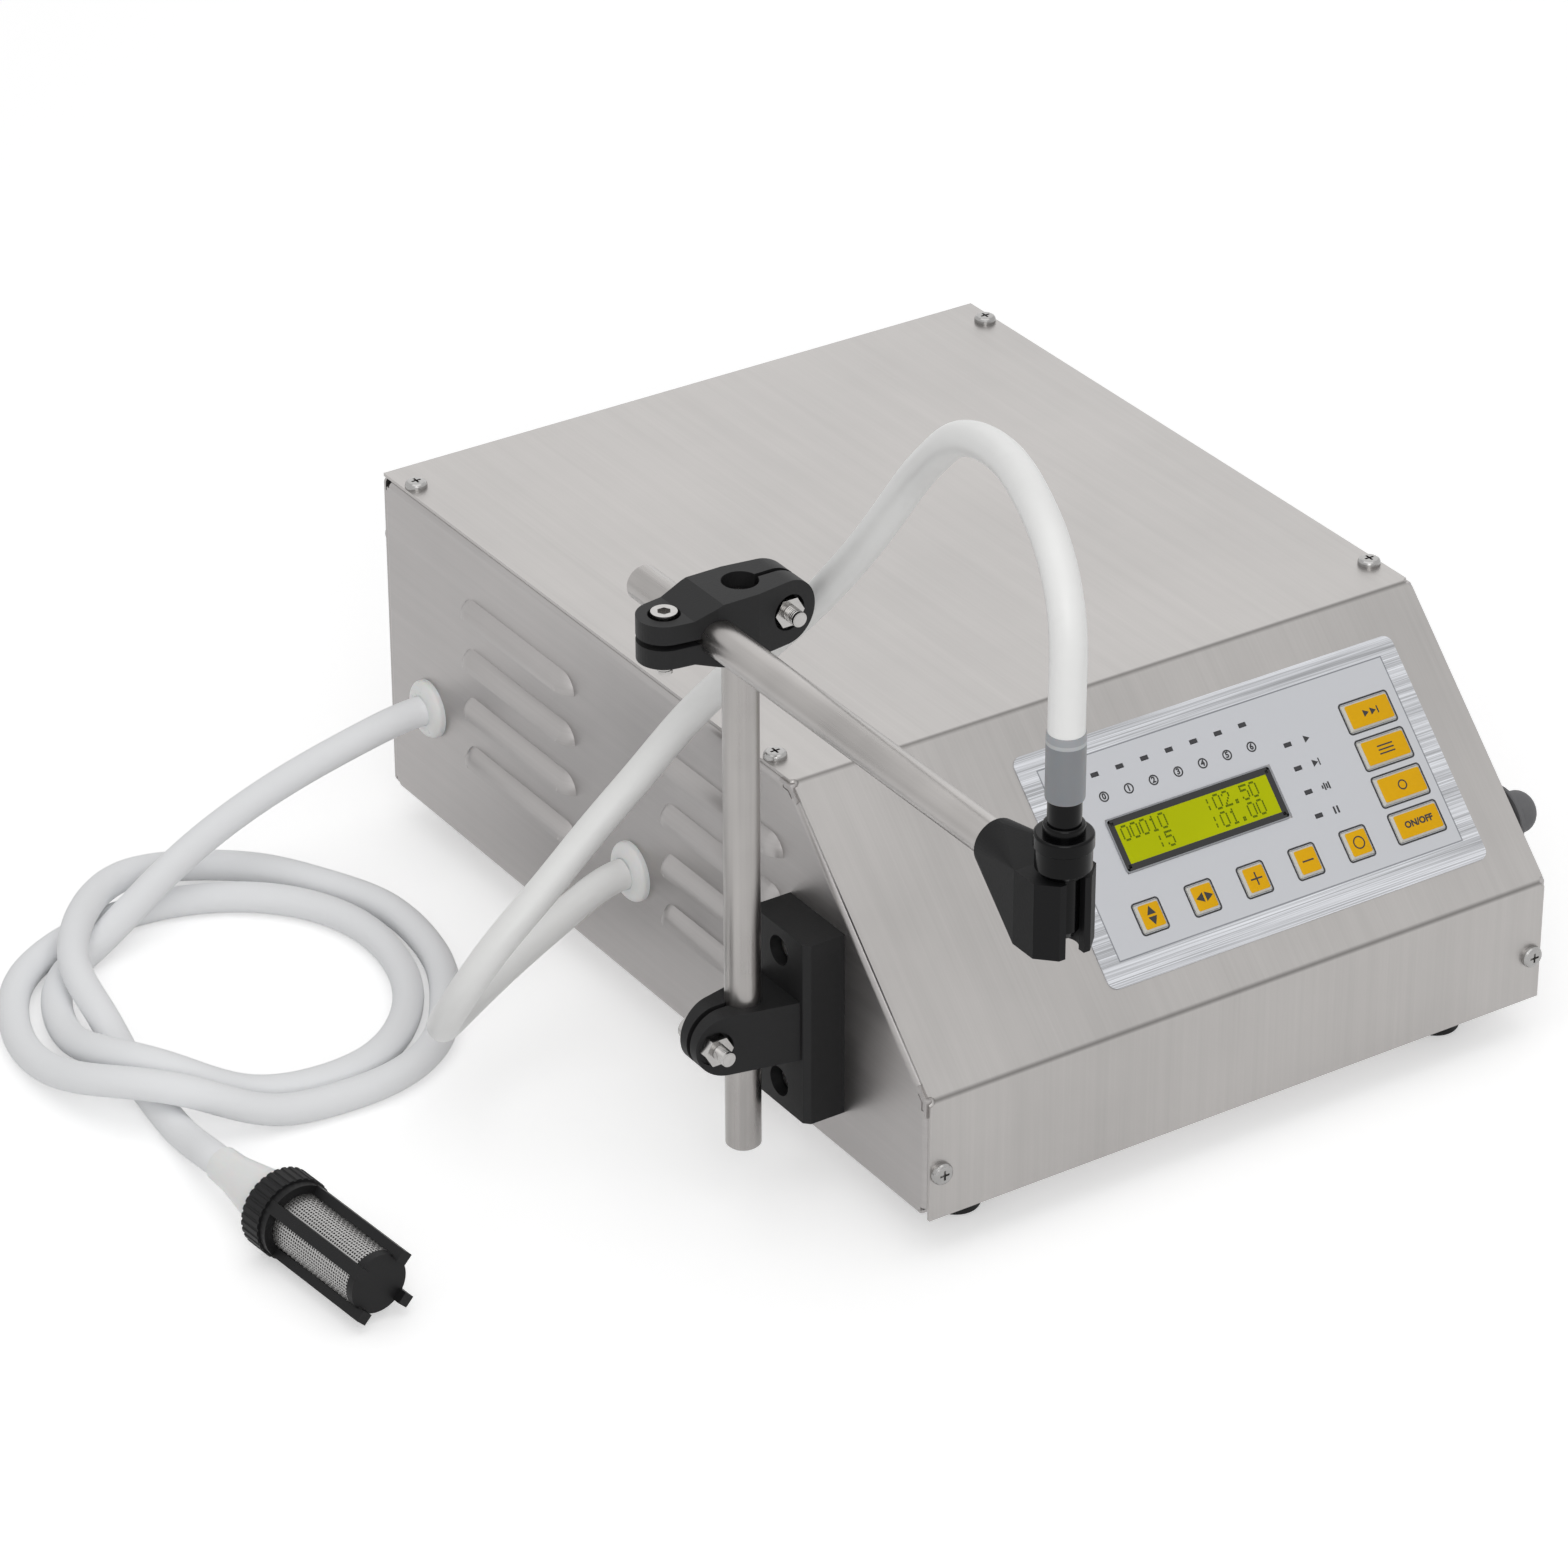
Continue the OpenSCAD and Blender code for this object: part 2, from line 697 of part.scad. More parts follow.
// Section of the cover in (y, z): a strip of sheet over the top, the slope and the front
module cover_section() {
    inner = inset(outline, [0, sheet_t, sheet_t, sheet_t, 0]);
    fold_r = bend_r + 0.5;
    polygon(concat(
        [outline[1]],
        rounded(outline[1], outline[2], outline[3], fold_r),
        rounded(outline[2], outline[3], outline[4], fold_r),
        [outline[4], inner[4]],
        rounded(inner[4], inner[3], inner[2], fold_r - sheet_t),
        rounded(inner[3], inner[2], inner[1], fold_r - sheet_t),
        [inner[1]]
    ));
}

module key_site(i) {
    on_slope(key_x + i * key_pitch, key_s, 0) children();
}

module wide_key_site(i) {
    on_slope(wide_key_x, wide_key_s + i * wide_key_pitch, 0) children();
}

module lamp_sites() {
    for (i = [0:6]) on_slope(lamp_row.x + i * lamp_row_pitch, lamp_row.y, 0) children();
    for (i = [0:3]) on_slope(lamp_column.x, lamp_column.y + i * lamp_column_pitch, 0) children();
}

module window(w, l, gap) {
    translate([0, 0, -board_depth / 2]) linear_extrude(board_depth)
        square([w + 2 * gap, l + 2 * gap], center = true);
}

// Windows for keys and lamps, the same through the label and the cover
module panel_windows() {
    for (i = [0:4]) key_site(i) window(key_w, key_l, key_gap);
    for (i = [0:3]) wide_key_site(i) window(wide_key_w, key_l, key_gap);
    lamp_sites() window(lamp_size.x, lamp_size.y, key_gap);
}

module top_cover() {
    color("gainsboro") placed() difference() {
        in_yz(box_w - 2 * edge_step) cover_section();
        panel_windows();
        on_slope(lcd_x, lcd_s, 0) window(lcd_w - 2 * lcd_ledge, lcd_l - 2 * lcd_ledge, 0);
        cover_screw_places() screw_holes(screw_d + 4 * fit, sheet_t + 1);
        for (x = [-1, 1], p = [outline[2], outline[3]])
            translate([x * (side_x - edge_step), p.x, p.y]) sphere(fold_notch / 2);
    }
}

module rear_panel() {
    color("silver") placed() difference() {
        on_rear(0, (foot_h + box_h - sheet_t) / 2) translate([0, 0, -sheet_t])
            rounded_plate(box_w - 2 * edge_step, box_h - sheet_t - foot_h, sheet_t, bend_r);
        rear_screw_places() screw_holes(screw_d + 4 * fit, sheet_t + 1);
        on_rear(inlet_x, inlet_z) translate([0, 0, -sheet_t - 1])
            rounded_plate(inlet_body.x + 2 * fit, inlet_body.y + 2 * fit, sheet_t + 2, 2);
        for (x = [-1, 1]) on_rear(inlet_x + x * inlet_pitch / 2, inlet_z)
            screw_holes(screw_d - 1 + fit, sheet_t + 1);
        on_rear(inlet_x, switch_z) translate([0, 0, -sheet_t - 1])
            rounded_plate(switch_hole.y, switch_hole.x, sheet_t + 2, 1);
    }
}

module feet() {
    color("dimgray") placed() foot_places() difference() {
        rotate_extrude() polygon(concat(
            [[0, 0]],
            arc([foot_d / 2 - 2.5, 1.5], 1.5, -90, 0, 4),
            [[foot_d / 2, foot_h - 3], [foot_d / 2, foot_h], [0, foot_h]]
        ));
        translate([0, 0, -1]) cylinder(d = screw_head_d + 1, h = foot_h / 2 + 1);
        cylinder(d = screw_d + 2 * fit, h = foot_h + 1);
    }
}

module foot_screws() {
    color("silver") placed() foot_places() translate([0, 0, foot_h / 2]) mirror([0, 0, 1])
        pan_screw(screw_d, foot_h / 2 + sheet_t + 5);
}

module cover_screws() {
    color("silver") placed() cover_screw_places() pan_screw(screw_d, screw_len);
}

module rear_screws() {
    color("silver") placed() {
        rear_screw_places() pan_screw(screw_d, screw_len);
        for (x = [-1, 1]) on_rear(inlet_x + x * inlet_pitch / 2, inlet_z) translate([0, 0, inlet_flange.z])
            pan_screw(screw_d - 1, inlet_flange.z + sheet_t + 4);
    }
}

module control_label() {
    color("whitesmoke") placed() difference() {
        on_slope(label_x, label_s + label_len / 2, 0) rounded_plate(label_w, label_len, label_t, 3.5);
        panel_windows();
        on_slope(lcd_x, lcd_s, 0) window(lcd_w, lcd_l, fit);
    }
}

module lcd_window() {
    color("black") placed() on_slope(lcd_x, lcd_s, 0) rounded_plate(lcd_w, lcd_l, lcd_t, 1.5);
}

module lcd_module() {
    glass = [lcd_w - 2 * lcd_ledge - 0.6, lcd_l - 2 * lcd_ledge - 0.6];
    color("yellowgreen") placed() on_slope(lcd_x, lcd_s, -board_depth) {
        rounded_plate(glass.x + 8, glass.y + 9, board_depth - sheet_t - 0.2, 1);
        rounded_plate(glass.x, glass.y, board_depth - fit, 0.5);
    }
}

module control_board() {
    color("green") placed() difference() {
        on_slope(label_x, board_mid_s, -board_depth - board_t)
            rounded_plate(board_size.x, board_size.y, board_t, 2);
        for (x = [-1, 1], y = [-1, 1])
            on_slope(label_x + x * standoff_x, board_mid_s + y * standoff_y, -board_depth - board_t - 1)
                cylinder(d = 3.2, h = board_t + 2);
    }
}

module board_standoffs() {
    color("silver") placed() for (x = [-1, 1], y = [-1, 1])
        on_slope(label_x + x * standoff_x, board_mid_s + y * standoff_y, -board_depth) {
            hex(standoff_d, board_depth - sheet_t);
            translate([0, 0, -board_t - 2.4]) cylinder(d = 3, h = board_t + 2.5);
            translate([0, 0, -board_t - 2.4]) hex_nut(5.5, 2.4, 2.8);
        }
}

module tact_switch() {
    top = board_depth - key_foot - plunger_l - key_travel - key_top_gap;
    translate([0, 0, -board_depth]) {
        rounded_plate(6, 6, top - 1, 0.5);
        cylinder(d = 3.5, h = top);
    }
}

module tact_switches() {
    color("dimgray") placed() {
        for (i = [0:4]) key_site(i) tact_switch();
        for (i = [0:3]) wide_key_site(i) tact_switch();
    }
}

module status_leds() {
    color("black") placed() lamp_sites() translate([0, 0, -board_depth])
        linear_extrude(board_depth + label_t) square(lamp_size, center = true);
}

// A bevelled pad with a neck through the panel, a flange under it and a plunger
module key_cap(w) {
    color("goldenrod") {
        hull() {
            translate([0, 0, label_t]) linear_extrude(0.1) square([w, key_l], center = true);
            translate([0, 0, label_t + key_rise - 0.1]) linear_extrude(0.1)
                square([w - 2 * key_bevel, key_l - 2 * key_bevel], center = true);
        }
        translate([0, 0, -key_foot]) {
            linear_extrude(key_foot + label_t + eps) square([w, key_l], center = true);
            rounded_plate(w + 2 * key_flange, key_l + 2 * key_flange, key_flange_t, 0.8);
            translate([0, 0, -plunger_l]) cylinder(d = 3, h = plunger_l + eps);
        }
    }
}

module square_key(i) {
    placed() key_site(i) key_cap(key_w);
}

module wide_key(i) {
    placed() wide_key_site(i) key_cap(wide_key_w);
}

// Quarter of an ellipse in (r, z), from the rim inwards and up to the top
function dome(r0, z0, r1, z1, steps = 8) =
    [for (i = [0:steps]) [r1 + (r0 - r1) * cos(90 * i / steps), z0 + (z1 - z0) * sin(90 * i / steps)]];

module wall_collar(y) {
    bore_r = hose_hole_d / 2;
    edge = collar_proud * 0.3;
    color("white") placed() on_side(-1, y, port_z) rotate_extrude() polygon(concat(
        [[bore_r, -collar_neck_l], [collar_neck_d / 2, -collar_neck_l], [collar_neck_d / 2, 0]],
        [[collar_d / 2, 0]],
        dome(collar_d / 2, edge, bore_r + 0.6, collar_proud),
        [[bore_r, collar_proud]]
    ));
}

module inlet_collar() {
    wall_collar(inlet_at);
}

module outlet_collar() {
    wall_collar(outlet_at);
}

module collar_nuts() {
    color("white") placed() for (y = [outlet_at, inlet_at])
        on_side(-1, y, port_z) translate([0, 0, -sheet_t - collar_nut_h])
            hex_nut(collar_neck_d + 5, collar_nut_h, collar_neck_d + fit);
}

module foot_switch_socket() {
    contact_r = 3.4;
    contact_l = 6;
    color("lightgray") placed() on_side(1, socket_y, socket_z) difference() {
        union() {
            translate([0, 0, -sheet_t - socket_neck])
                cylinder(d = socket_d, h = socket_neck + sheet_t + socket_l);
            cylinder(d = socket_d + 3, h = 1.5);
            translate([0, 0, -sheet_t - 2.5]) hex(socket_d + 4, 2.5);
        }
        for (a = [0:72:359]) rotate(a) translate([contact_r, 0, socket_l - contact_l])
            cylinder(d = 1.2, h = contact_l + 1);
    }
}

// Bell-shaped rubber cap that grips the socket's barrel
module socket_cap() {
    top_r = 6.2;
    wall = 1.5;
    grip_r = socket_d / 2 + rod_gap_r;
    waist_r = grip_r + wall;
    curve_r = cap_d / 2 - waist_r;
    shoulder = cap_l - top_r;
    color("gray") placed() on_side(1, socket_y, socket_z) rotate_extrude() polygon(concat(
        [[grip_r, 1.6], [cap_d / 2 - 0.4, 1.6], [cap_d / 2, 2], [cap_d / 2, 2.8]],
        arc([cap_d / 2, 2.8 + curve_r], curve_r, 270, 180),
        dome(waist_r, shoulder, 0, cap_l),
        [[0, socket_l + 0.6], [grip_r, socket_l + 0.6]]
    ));
}

// Plan of the bracket's block, with its outer edges cut at 45 degrees
module bracket_plan() {
    c = 2;
    w = bracket_w / 2;
    polygon([
        [-side_x, post_y - w], [-side_x, post_y + w], [bracket_face_x + c, post_y + w],
        [bracket_face_x, post_y + w - c], [bracket_face_x, post_y - w + c], [bracket_face_x + c, post_y - w]
    ]);
}

// Clamp lug of the bracket, tapered in plan and round at its end in elevation
module bracket_lug() {
    root = -side_x - 2;
    r = lug_h / 2;
    wide = lug_w / 2;
    thin = lug_end_w / 2;
    intersection() {
        translate([0, post_y, lug_z - r]) linear_extrude(lug_h) polygon([
            [lug_end_x, -thin], [bracket_face_x, -wide], [root, -wide],
            [root, wide], [bracket_face_x, wide], [lug_end_x, thin]
        ]);
        translate([0, post_y + wide, lug_z]) rotate([90, 0, 0]) linear_extrude(lug_w) {
            translate([lug_end_x + r, 0]) circle(r);
            translate([lug_end_x + r, -r]) square([root - lug_end_x - r, lug_h]);
        }
    }
}

// Flat round seats for a clamp bolt's head and nut, cut from a width outwards along Y
module bolt_seats(x, z, width) {
    for (turn = [-90, 90]) translate([x, post_y, z]) rotate([turn, 0, 0])
        translate([0, 0, width / 2]) cylinder(d = seat_d, h = clamp_t);
}

module bracket() {
    color([0.12, 0.12, 0.12]) placed() difference() {
        union() {
            translate([0, 0, bracket_z - bracket_h / 2]) linear_extrude(bracket_h) bracket_plan();
            bracket_lug();
        }
        translate([post_x, post_y, lug_z - lug_h]) cylinder(d = rod_bore_d, h = 2 * lug_h);
        translate([bracket_bolt_x - lug_h, post_y - slit_w / 2, lug_z - lug_h])
            cube([post_x - bracket_bolt_x + lug_h, slit_w, 2 * lug_h]);
        translate([bracket_bolt_x, post_y, lug_z]) rotate([90, 0, 0])
            cylinder(d = bolt_d + 2 * fit, h = 2 * lug_w, center = true);
        bolt_seats(bracket_bolt_x, lug_z, lug_end_w);
        for (z = bracket_screw_z) on_side(-1, post_y, z) {
            translate([0, 0, -1]) cylinder(d = bolt_d + 2 * fit, h = bracket_t + 2);
            translate([0, 0, bracket_t - bracket_sink]) cylinder(d = counterbore_d, h = bracket_sink + 1);
        }
    }
}

module bracket_screws() {
    color("dimgray") placed() for (z = bracket_screw_z)
        on_side(-1, post_y, z) translate([0, 0, bracket_t - bracket_sink])
            socket_bolt(bolt_d, bracket_t - bracket_sink + sheet_t + nut_h + 2);
}

module bracket_nuts() {
    color("silver") placed() for (z = bracket_screw_z)
        on_side(-1, post_y, z) translate([0, 0, -sheet_t - nut_h]) hex_nut(nut_w, nut_h, bolt_d + fit);
}

// Bolt and nut that pull a slit clamp together, along Y with the nut at the front
module clamp_bolt(x, y, z, width) {
    translate([x, y + width / 2, z]) rotate([-90, 0, 0]) socket_bolt(bolt_d, width + nut_h + bolt_tail);
    translate([x, y - width / 2 - nut_h, z]) rotate([-90, 0, 0]) hex_nut(nut_w, nut_h, bolt_d + fit);
}

module bracket_clamp_bolt() {
    color("silver") placed() clamp_bolt(bracket_bolt_x, post_y, lug_z, lug_end_w);
}

module post() {
    color("silver") placed() translate([post_x, post_y, post_z]) rod(rod_d, post_len);
}

// Plan of the cross clamp: a round left end, full width round the bores and a narrow right end
module clamp_plan() {
    wide = clamp_t / 2;
    thin = clamp_end_t / 2;
    hull() {
        translate([arm_bolt_x, 0]) circle(arm_bolt_x - clamp_left);
        translate([arm_x, -wide]) square([rod_gap, clamp_t]);
    }
    polygon([[post_x, -wide], [clamp_right, -thin], [clamp_right, thin], [post_x, wide]]);
}

// Elevation of the cross clamp: a thin left end, full height round the bores and a round right end
module clamp_side() {
    wide = clamp_t / 2;
    thin = clamp_end_t / 2;
    ramp = [arm_bolt_x + bolt_d, arm_x + 2];
    translate([clamp_right - wide, 0]) circle(wide);
    polygon([
        [clamp_left, -thin], [ramp[0], -thin], [ramp[1], -wide], [clamp_right - wide, -wide],
        [clamp_right - wide, wide], [ramp[1], wide], [ramp[0], thin], [clamp_left, thin]
    ]);
}

module clamp_form() {
    half = clamp_t / 2;
    intersection() {
        translate([0, post_y, arm_z - half]) linear_extrude(clamp_t) clamp_plan();
        translate([0, post_y + half, arm_z]) rotate([90, 0, 0]) linear_extrude(clamp_t) clamp_side();
    }
}

module cross_clamp() {
    reach = 2 * clamp_t;
    color([0.12, 0.12, 0.12]) placed() difference() {
        clamp_form();
        translate([post_x, post_y, arm_z]) cylinder(d = rod_bore_d, h = reach, center = true);
        translate([post_x, post_y - slit_w / 2, arm_z - clamp_t]) cube([reach, slit_w, reach]);
        translate([arm_x, post_y, arm_z]) rotate([90, 0, 0])
            cylinder(d = rod_bore_d, h = reach, center = true);
        translate([arm_x - reach, post_y - clamp_t, arm_z - slit_w / 2]) cube([reach, reach, slit_w]);
        translate([arm_bolt_x, post_y, arm_z]) cylinder(d = bolt_d + 2 * fit, h = reach, center = true);
        translate([arm_bolt_x, post_y, arm_z + clamp_end_t / 2 - clamp_sink])
            cylinder(d = counterbore_d, h = clamp_t);
        translate([post_bolt_x, post_y, arm_z]) rotate([90, 0, 0])
            cylinder(d = bolt_d + 2 * fit, h = reach, center = true);
        bolt_seats(post_bolt_x, arm_z, 2 * clamp_seat);
    }
}

module arm_clamp_screw() {
    color("dimgray") placed() translate([arm_bolt_x, post_y, arm_z + clamp_end_t / 2 - clamp_sink])
        socket_bolt(bolt_d, clamp_end_t - clamp_sink + bolt_tail);
}

module post_clamp_bolt() {
    color("silver") placed() clamp_bolt(post_bolt_x, post_y, arm_z, 2 * clamp_seat);
}

module arm() {
    color("silver") placed() translate([arm_x, arm_back, arm_z]) rotate([90, 0, 0]) rod(rod_d, arm_len);
}

// Plan of the fork about the nozzle's axis, with its front edges cut at 45 degrees
module fork_plan(front, back) {
    w = fork_w / 2;
    c = fork_chamfer;
    polygon([[-w, back], [-w, front + c], [c - w, front], [w - c, front], [w, front + c], [w, back]]);
}

// Moulded holder: a round rim on the arm that runs out into a fork for the spout
module nozzle_holder() {
    front = fork_front - nozzle_y;
    back = fork_back - nozzle_y;
    color([0.08, 0.08, 0.08]) placed() translate([nozzle_x, nozzle_y, 0]) difference() {
        union() {
            translate([0, 0, fork_bottom]) linear_extrude(fork_h) fork_plan(front, back);
            hull() {
                translate([0, rim_back - nozzle_y, arm_z]) rotate([90, 0, 0])
                    cylinder(r = rim_r, h = 3, $fn = 40);
                translate([-fork_w / 2, back - 0.5, fork_bottom]) cube([fork_w, 0.5, fork_h]);
            }
        }
        translate([0, rim_back - nozzle_y + 1, arm_z]) rotate([90, 0, 0])
            cylinder(d = rod_bore_d, h = rim_back - arm_front + 1 + fit);
        translate([0, 0, fork_bottom - 1]) cylinder(d = spout_d + 2 * fit, h = fork_h + 2);
        translate([-fork_mouth / 2, front - 1, fork_bottom - 1]) cube([fork_mouth, -front + 1, fork_h + 2]);
    }
}

// Spout, stepped collar, polished stem and the barb inside the sleeve
module nozzle() {
    bore_r = 3.5;
    r = nozzle_collar_d / 2;
    color([0.05, 0.05, 0.05]) placed() translate([nozzle_x, nozzle_y, 0]) rotate_extrude() polygon(concat(
        [[bore_r, spout_z], [spout_d / 2 - 1, spout_z], [spout_d / 2, spout_z + 2]],
        [[spout_d / 2, fork_top], [r - 3, fork_top], [r - 3, fork_top + 1.5], [r - 1.2, fork_top + 1.5]],
        [[r - 0.5, fork_top + 2.5], [r - 0.5, collar_top - 8], [r, collar_top - 7.5]],
        arc([r - 0.8, collar_top - 4], 0.8, 0, 90, 4),
        [[stem_d / 2 + 1.2, collar_top - 3.2]],
        arc([stem_d / 2 + 0.4, collar_top - 0.8], 0.8, 0, 90, 4),
        [[stem_d / 2, collar_top], [stem_d / 2, sleeve_z + sleeve_len * 0.3]],
        [[stem_d / 2 - 0.6, sleeve_z + sleeve_len * 0.6], [bore_r, sleeve_z + sleeve_len * 0.6]]
    ));
}

module nozzle_sleeve() {
    color([0.85, 0.87, 0.9, 0.6]) placed() translate([nozzle_x, nozzle_y, sleeve_z])
        ring(sleeve_d, stem_d + fit, sleeve_len);
}

module outlet_hose() {
    start = [-side_x - collar_proud, outlet_at, port_z];
    route = pulled(outlet_route, start, [nozzle_x, nozzle_y, sleeve_top]);
    color([0.93, 0.94, 0.95]) placed() swept_tube(route, hose_d, [-1, 0, 0], [0, 0, -1]);
}

module suction_hose() {
    start = [-side_x - collar_proud, inlet_at, port_z];
    along = [sin(strainer_turn), -cos(strainer_turn), 0];
    end = [strainer_at.x, strainer_at.y, strainer_d / 2] - (strainer_cap_l / 2 + strainer_fit_l) * along;
    route = pulled(suction_route, start, end);
    color([0.93, 0.94, 0.95]) placed() swept_tube(route, hose_d, [-1, 0, 0], along);
}

// Puts children on the strainer's axis, which points away from the hose
module on_strainer(along) {
    placed() translate([strainer_at.x, strainer_at.y, strainer_d / 2]) rotate([90, 0, strainer_turn])
        translate([0, 0, along]) children();
}

module strainer_fitting() {
    r = hose_d / 2 + 0.8;
    flare = strainer_d * 0.33;
    color("white") on_strainer(-strainer_cap_l / 2 - strainer_fit_l) rotate_extrude() polygon([
        [hose_bore / 2, 0], [r, 0], [r + 0.4, strainer_fit_l * 0.25], [flare, strainer_fit_l * 0.75],
        [flare, strainer_fit_l], [hose_bore / 2, strainer_fit_l]
    ]);
}

module strainer_cap() {
    grooves = 32;
    groove_r = 0.7;
    color([0.1, 0.1, 0.1]) on_strainer(-strainer_cap_l / 2) difference() {
        ring(strainer_d, 2 * mesh_r + fit, strainer_cap_l);
        for (i = [0.5:grooves]) rotate(360 * i / grooves)
            translate([strainer_d / 2 + groove_r / 3, 0, -1])
                cylinder(r = groove_r, h = strainer_cap_l + 2, $fn = 16);
    }
    color([0.1, 0.1, 0.1]) on_strainer(-strainer_cap_l / 2) ring(2 * mesh_r + 2, hose_bore, 2);
}

// Base ring, four bars and the end disc of the cage
module strainer_cage() {
    bar_r = mesh_r + 0.2;
    lug = 3;
    color([0.1, 0.1, 0.1]) on_strainer(strainer_cap_l / 2) {
        ring(2 * cage_r, 2 * bar_r, 3);
        difference() {
            for (a = [45:90:359]) rotate(a) translate([bar_r - 1, -cage_bar / 2, 0])
                cube([cage_r - bar_r + 1, cage_bar, strainer_cage_l + lug]);
            translate([0, 0, -1]) cylinder(r = bar_r, h = strainer_cage_l + 1 - 3);
        }
        translate([0, 0, strainer_cage_l - 3]) cylinder(r = bar_r + eps, h = 3);
    }
}

module strainer_mesh() {
    color("silver") on_strainer(-strainer_cap_l / 2 + 2)
        ring(2 * mesh_r, 2 * mesh_r - 1, strainer_cap_l - 2 + strainer_cage_l - 3);
}

// Saddles on a base plate, with a half-round seat for the motor
module pump_bracket() {
    color("gray") placed() difference() {
        union() {
            translate([(motor_x + motor_end) / 2, pump_y, floor_top])
                rounded_plate(motor_l, saddle_w + 2 * saddle_foot, base_t, 4);
            for (x = saddle_x) translate([x - saddle_l / 2, pump_y - saddle_w / 2, floor_top])
                cube([saddle_l, saddle_w, pump_z - floor_top]);
        }
        translate([motor_x - 1, pump_y, pump_z]) rotate([0, 90, 0])
            cylinder(d = motor_d + fit, h = motor_l + 2);
        strap_screw_places() screw_holes(strap_screw_d + 2 * fit, strap_screw_l + 1);
        for (x = saddle_x, y = [-1, 1])
            translate([x, pump_y + y * (saddle_w + saddle_foot) / 2, floor_top - 1])
                cylinder(d = screw_d + 4 * fit, h = base_t + 2);
    }
}

module strap_screw_places() {
    for (x = saddle_x, y = [-1, 1])
        translate([x, pump_y + y * (saddle_w / 2 - strap_screw_in), pump_z + strap_t]) children();
}

// Bands over the motor, screwed to the saddles
module motor_straps() {
    color("silver") placed() difference() {
        for (x = saddle_x) translate([x - saddle_l / 2, pump_y, pump_z]) intersection() {
            union() {
                rotate([0, 90, 0]) cylinder(r = motor_d / 2 + strap_t, h = saddle_l);
                translate([0, -saddle_w / 2, 0]) cube([saddle_l, saddle_w, strap_t]);
            }
            translate([0, -saddle_w, 0]) cube([saddle_l, 2 * saddle_w, motor_d]);
        }
        translate([motor_x - 1, pump_y, pump_z]) rotate([0, 90, 0])
            cylinder(d = motor_d + fit, h = motor_l + 2);
        strap_screw_places() screw_holes(strap_screw_d + 4 * fit, 2 * strap_t);
    }
}

// Long screws through the pump's head and housing, and short ones in the straps
module pump_screws() {
    l = head_l + diaphragm_t + crank_l - 1;
    color("silver") {
        on_pump(head_x) pump_screw_places() mirror([0, 0, 1]) pan_screw(screw_d, l);
        placed() strap_screw_places() pan_screw(strap_screw_d, strap_screw_l);
    }
}

// Puts children on the pump's axis, which runs along X
module on_pump(x) {
    placed() translate([x, pump_y, pump_z]) rotate([90, 0, 90]) children();
}

module pump_motor() {
    cap = 6;
    color("dimgray") on_pump(motor_x) difference() {
        rotate_extrude() polygon(concat(
            [[shaft_d / 2 + rod_gap_r, 0], [motor_d / 2 - 3, 0], [motor_d / 2 - 3, 1], [motor_d / 2, 2]],
            [[motor_d / 2, motor_l - cap - 2]],
            dome(motor_d / 2, motor_l - cap - 2, motor_d / 2 - 2, motor_l - cap, 4),
            [[shaft_d, motor_l - cap], [shaft_d, motor_l], [0, motor_l], [0, shaft_seat + 1]],
            [[shaft_d / 2 + rod_gap_r, shaft_seat + 1]]
        ));
        for (a = [0:60:359]) rotate(a) translate([motor_d / 2 - 6, -1.5, motor_l - cap - 3]) cube([4, 3, 4]);
    }
}

module crank_housing() {
    color("dimgray") on_pump(crank_x) difference() {
        rounded_plate(head_w, head_w, crank_l, 5);
        translate([0, 0, -1]) cylinder(d = crank_bore_d, h = crank_l - 3);
        cylinder(d = shaft_d + 1, h = crank_l + 1);
        pump_screw_places() translate([0, 0, -1]) cylinder(d = screw_d + 2 * fit, h = crank_l + 2);
    }
}

module pump_screw_places() {
    for (x = [-1, 1], y = [-1, 1]) translate([x * (head_w / 2 - 5), y * (head_w / 2 - 5), 0]) children();
}

// Rubber diaphragm between the head and the housing, with a boss over the eccentric
module pump_diaphragm() {
    color("darkred") on_pump(crank_x - diaphragm_t) difference() {
        union() {
            rounded_plate(head_w, head_w, diaphragm_t, 5);
            cylinder(d = crank_bore_d / 2, h = diaphragm_t + 2);
        }
        pump_screw_places() translate([0, 0, -1]) cylinder(d = screw_d + 2 * fit, h = diaphragm_t + 2);
    }
}

// Valve head with a barbed port on each side
module pump_head() {
    color("whitesmoke") on_pump(head_x) {
        difference() {
            rounded_plate(head_w, head_w, head_l, 5);
            pump_screw_places() translate([0, 0, -1]) cylinder(d = screw_d + 2 * fit, h = head_l + 2);
        }
        for (side = [-1, 1]) translate([side * barb_y, 0, head_l / 2]) rotate([0, side * 90, 0]) barb();
    }
}

module barb() {
    r = hose_bore / 2 - fit;
    step = (barb_l - hose_start) / 4;
    translate([0, 0, -1]) rotate_extrude() polygon(concat(
        [[r - 1.5, 0], [hose_d / 2, 0], [hose_d / 2, 1 + hose_start - fit], [r - 0.6, 1 + hose_start - fit]],
        [for (i = [0:3], e = [0, 1]) [r - 0.6 * e, 1 + hose_start + i * step + (e == 0 ? 0.5 : step)]],
        [[r - 1.5, 1 + barb_l]]
    ));
}

module pump_eccentric() {
    color("silver") on_pump(motor_x) {
        translate([0, 0, -cam_l - 4]) cylinder(d = shaft_d, h = cam_l + 4 + shaft_seat);
        translate([0, throw, -cam_l - 3]) cylinder(d = cam_d, h = cam_l - 2);
    }
}

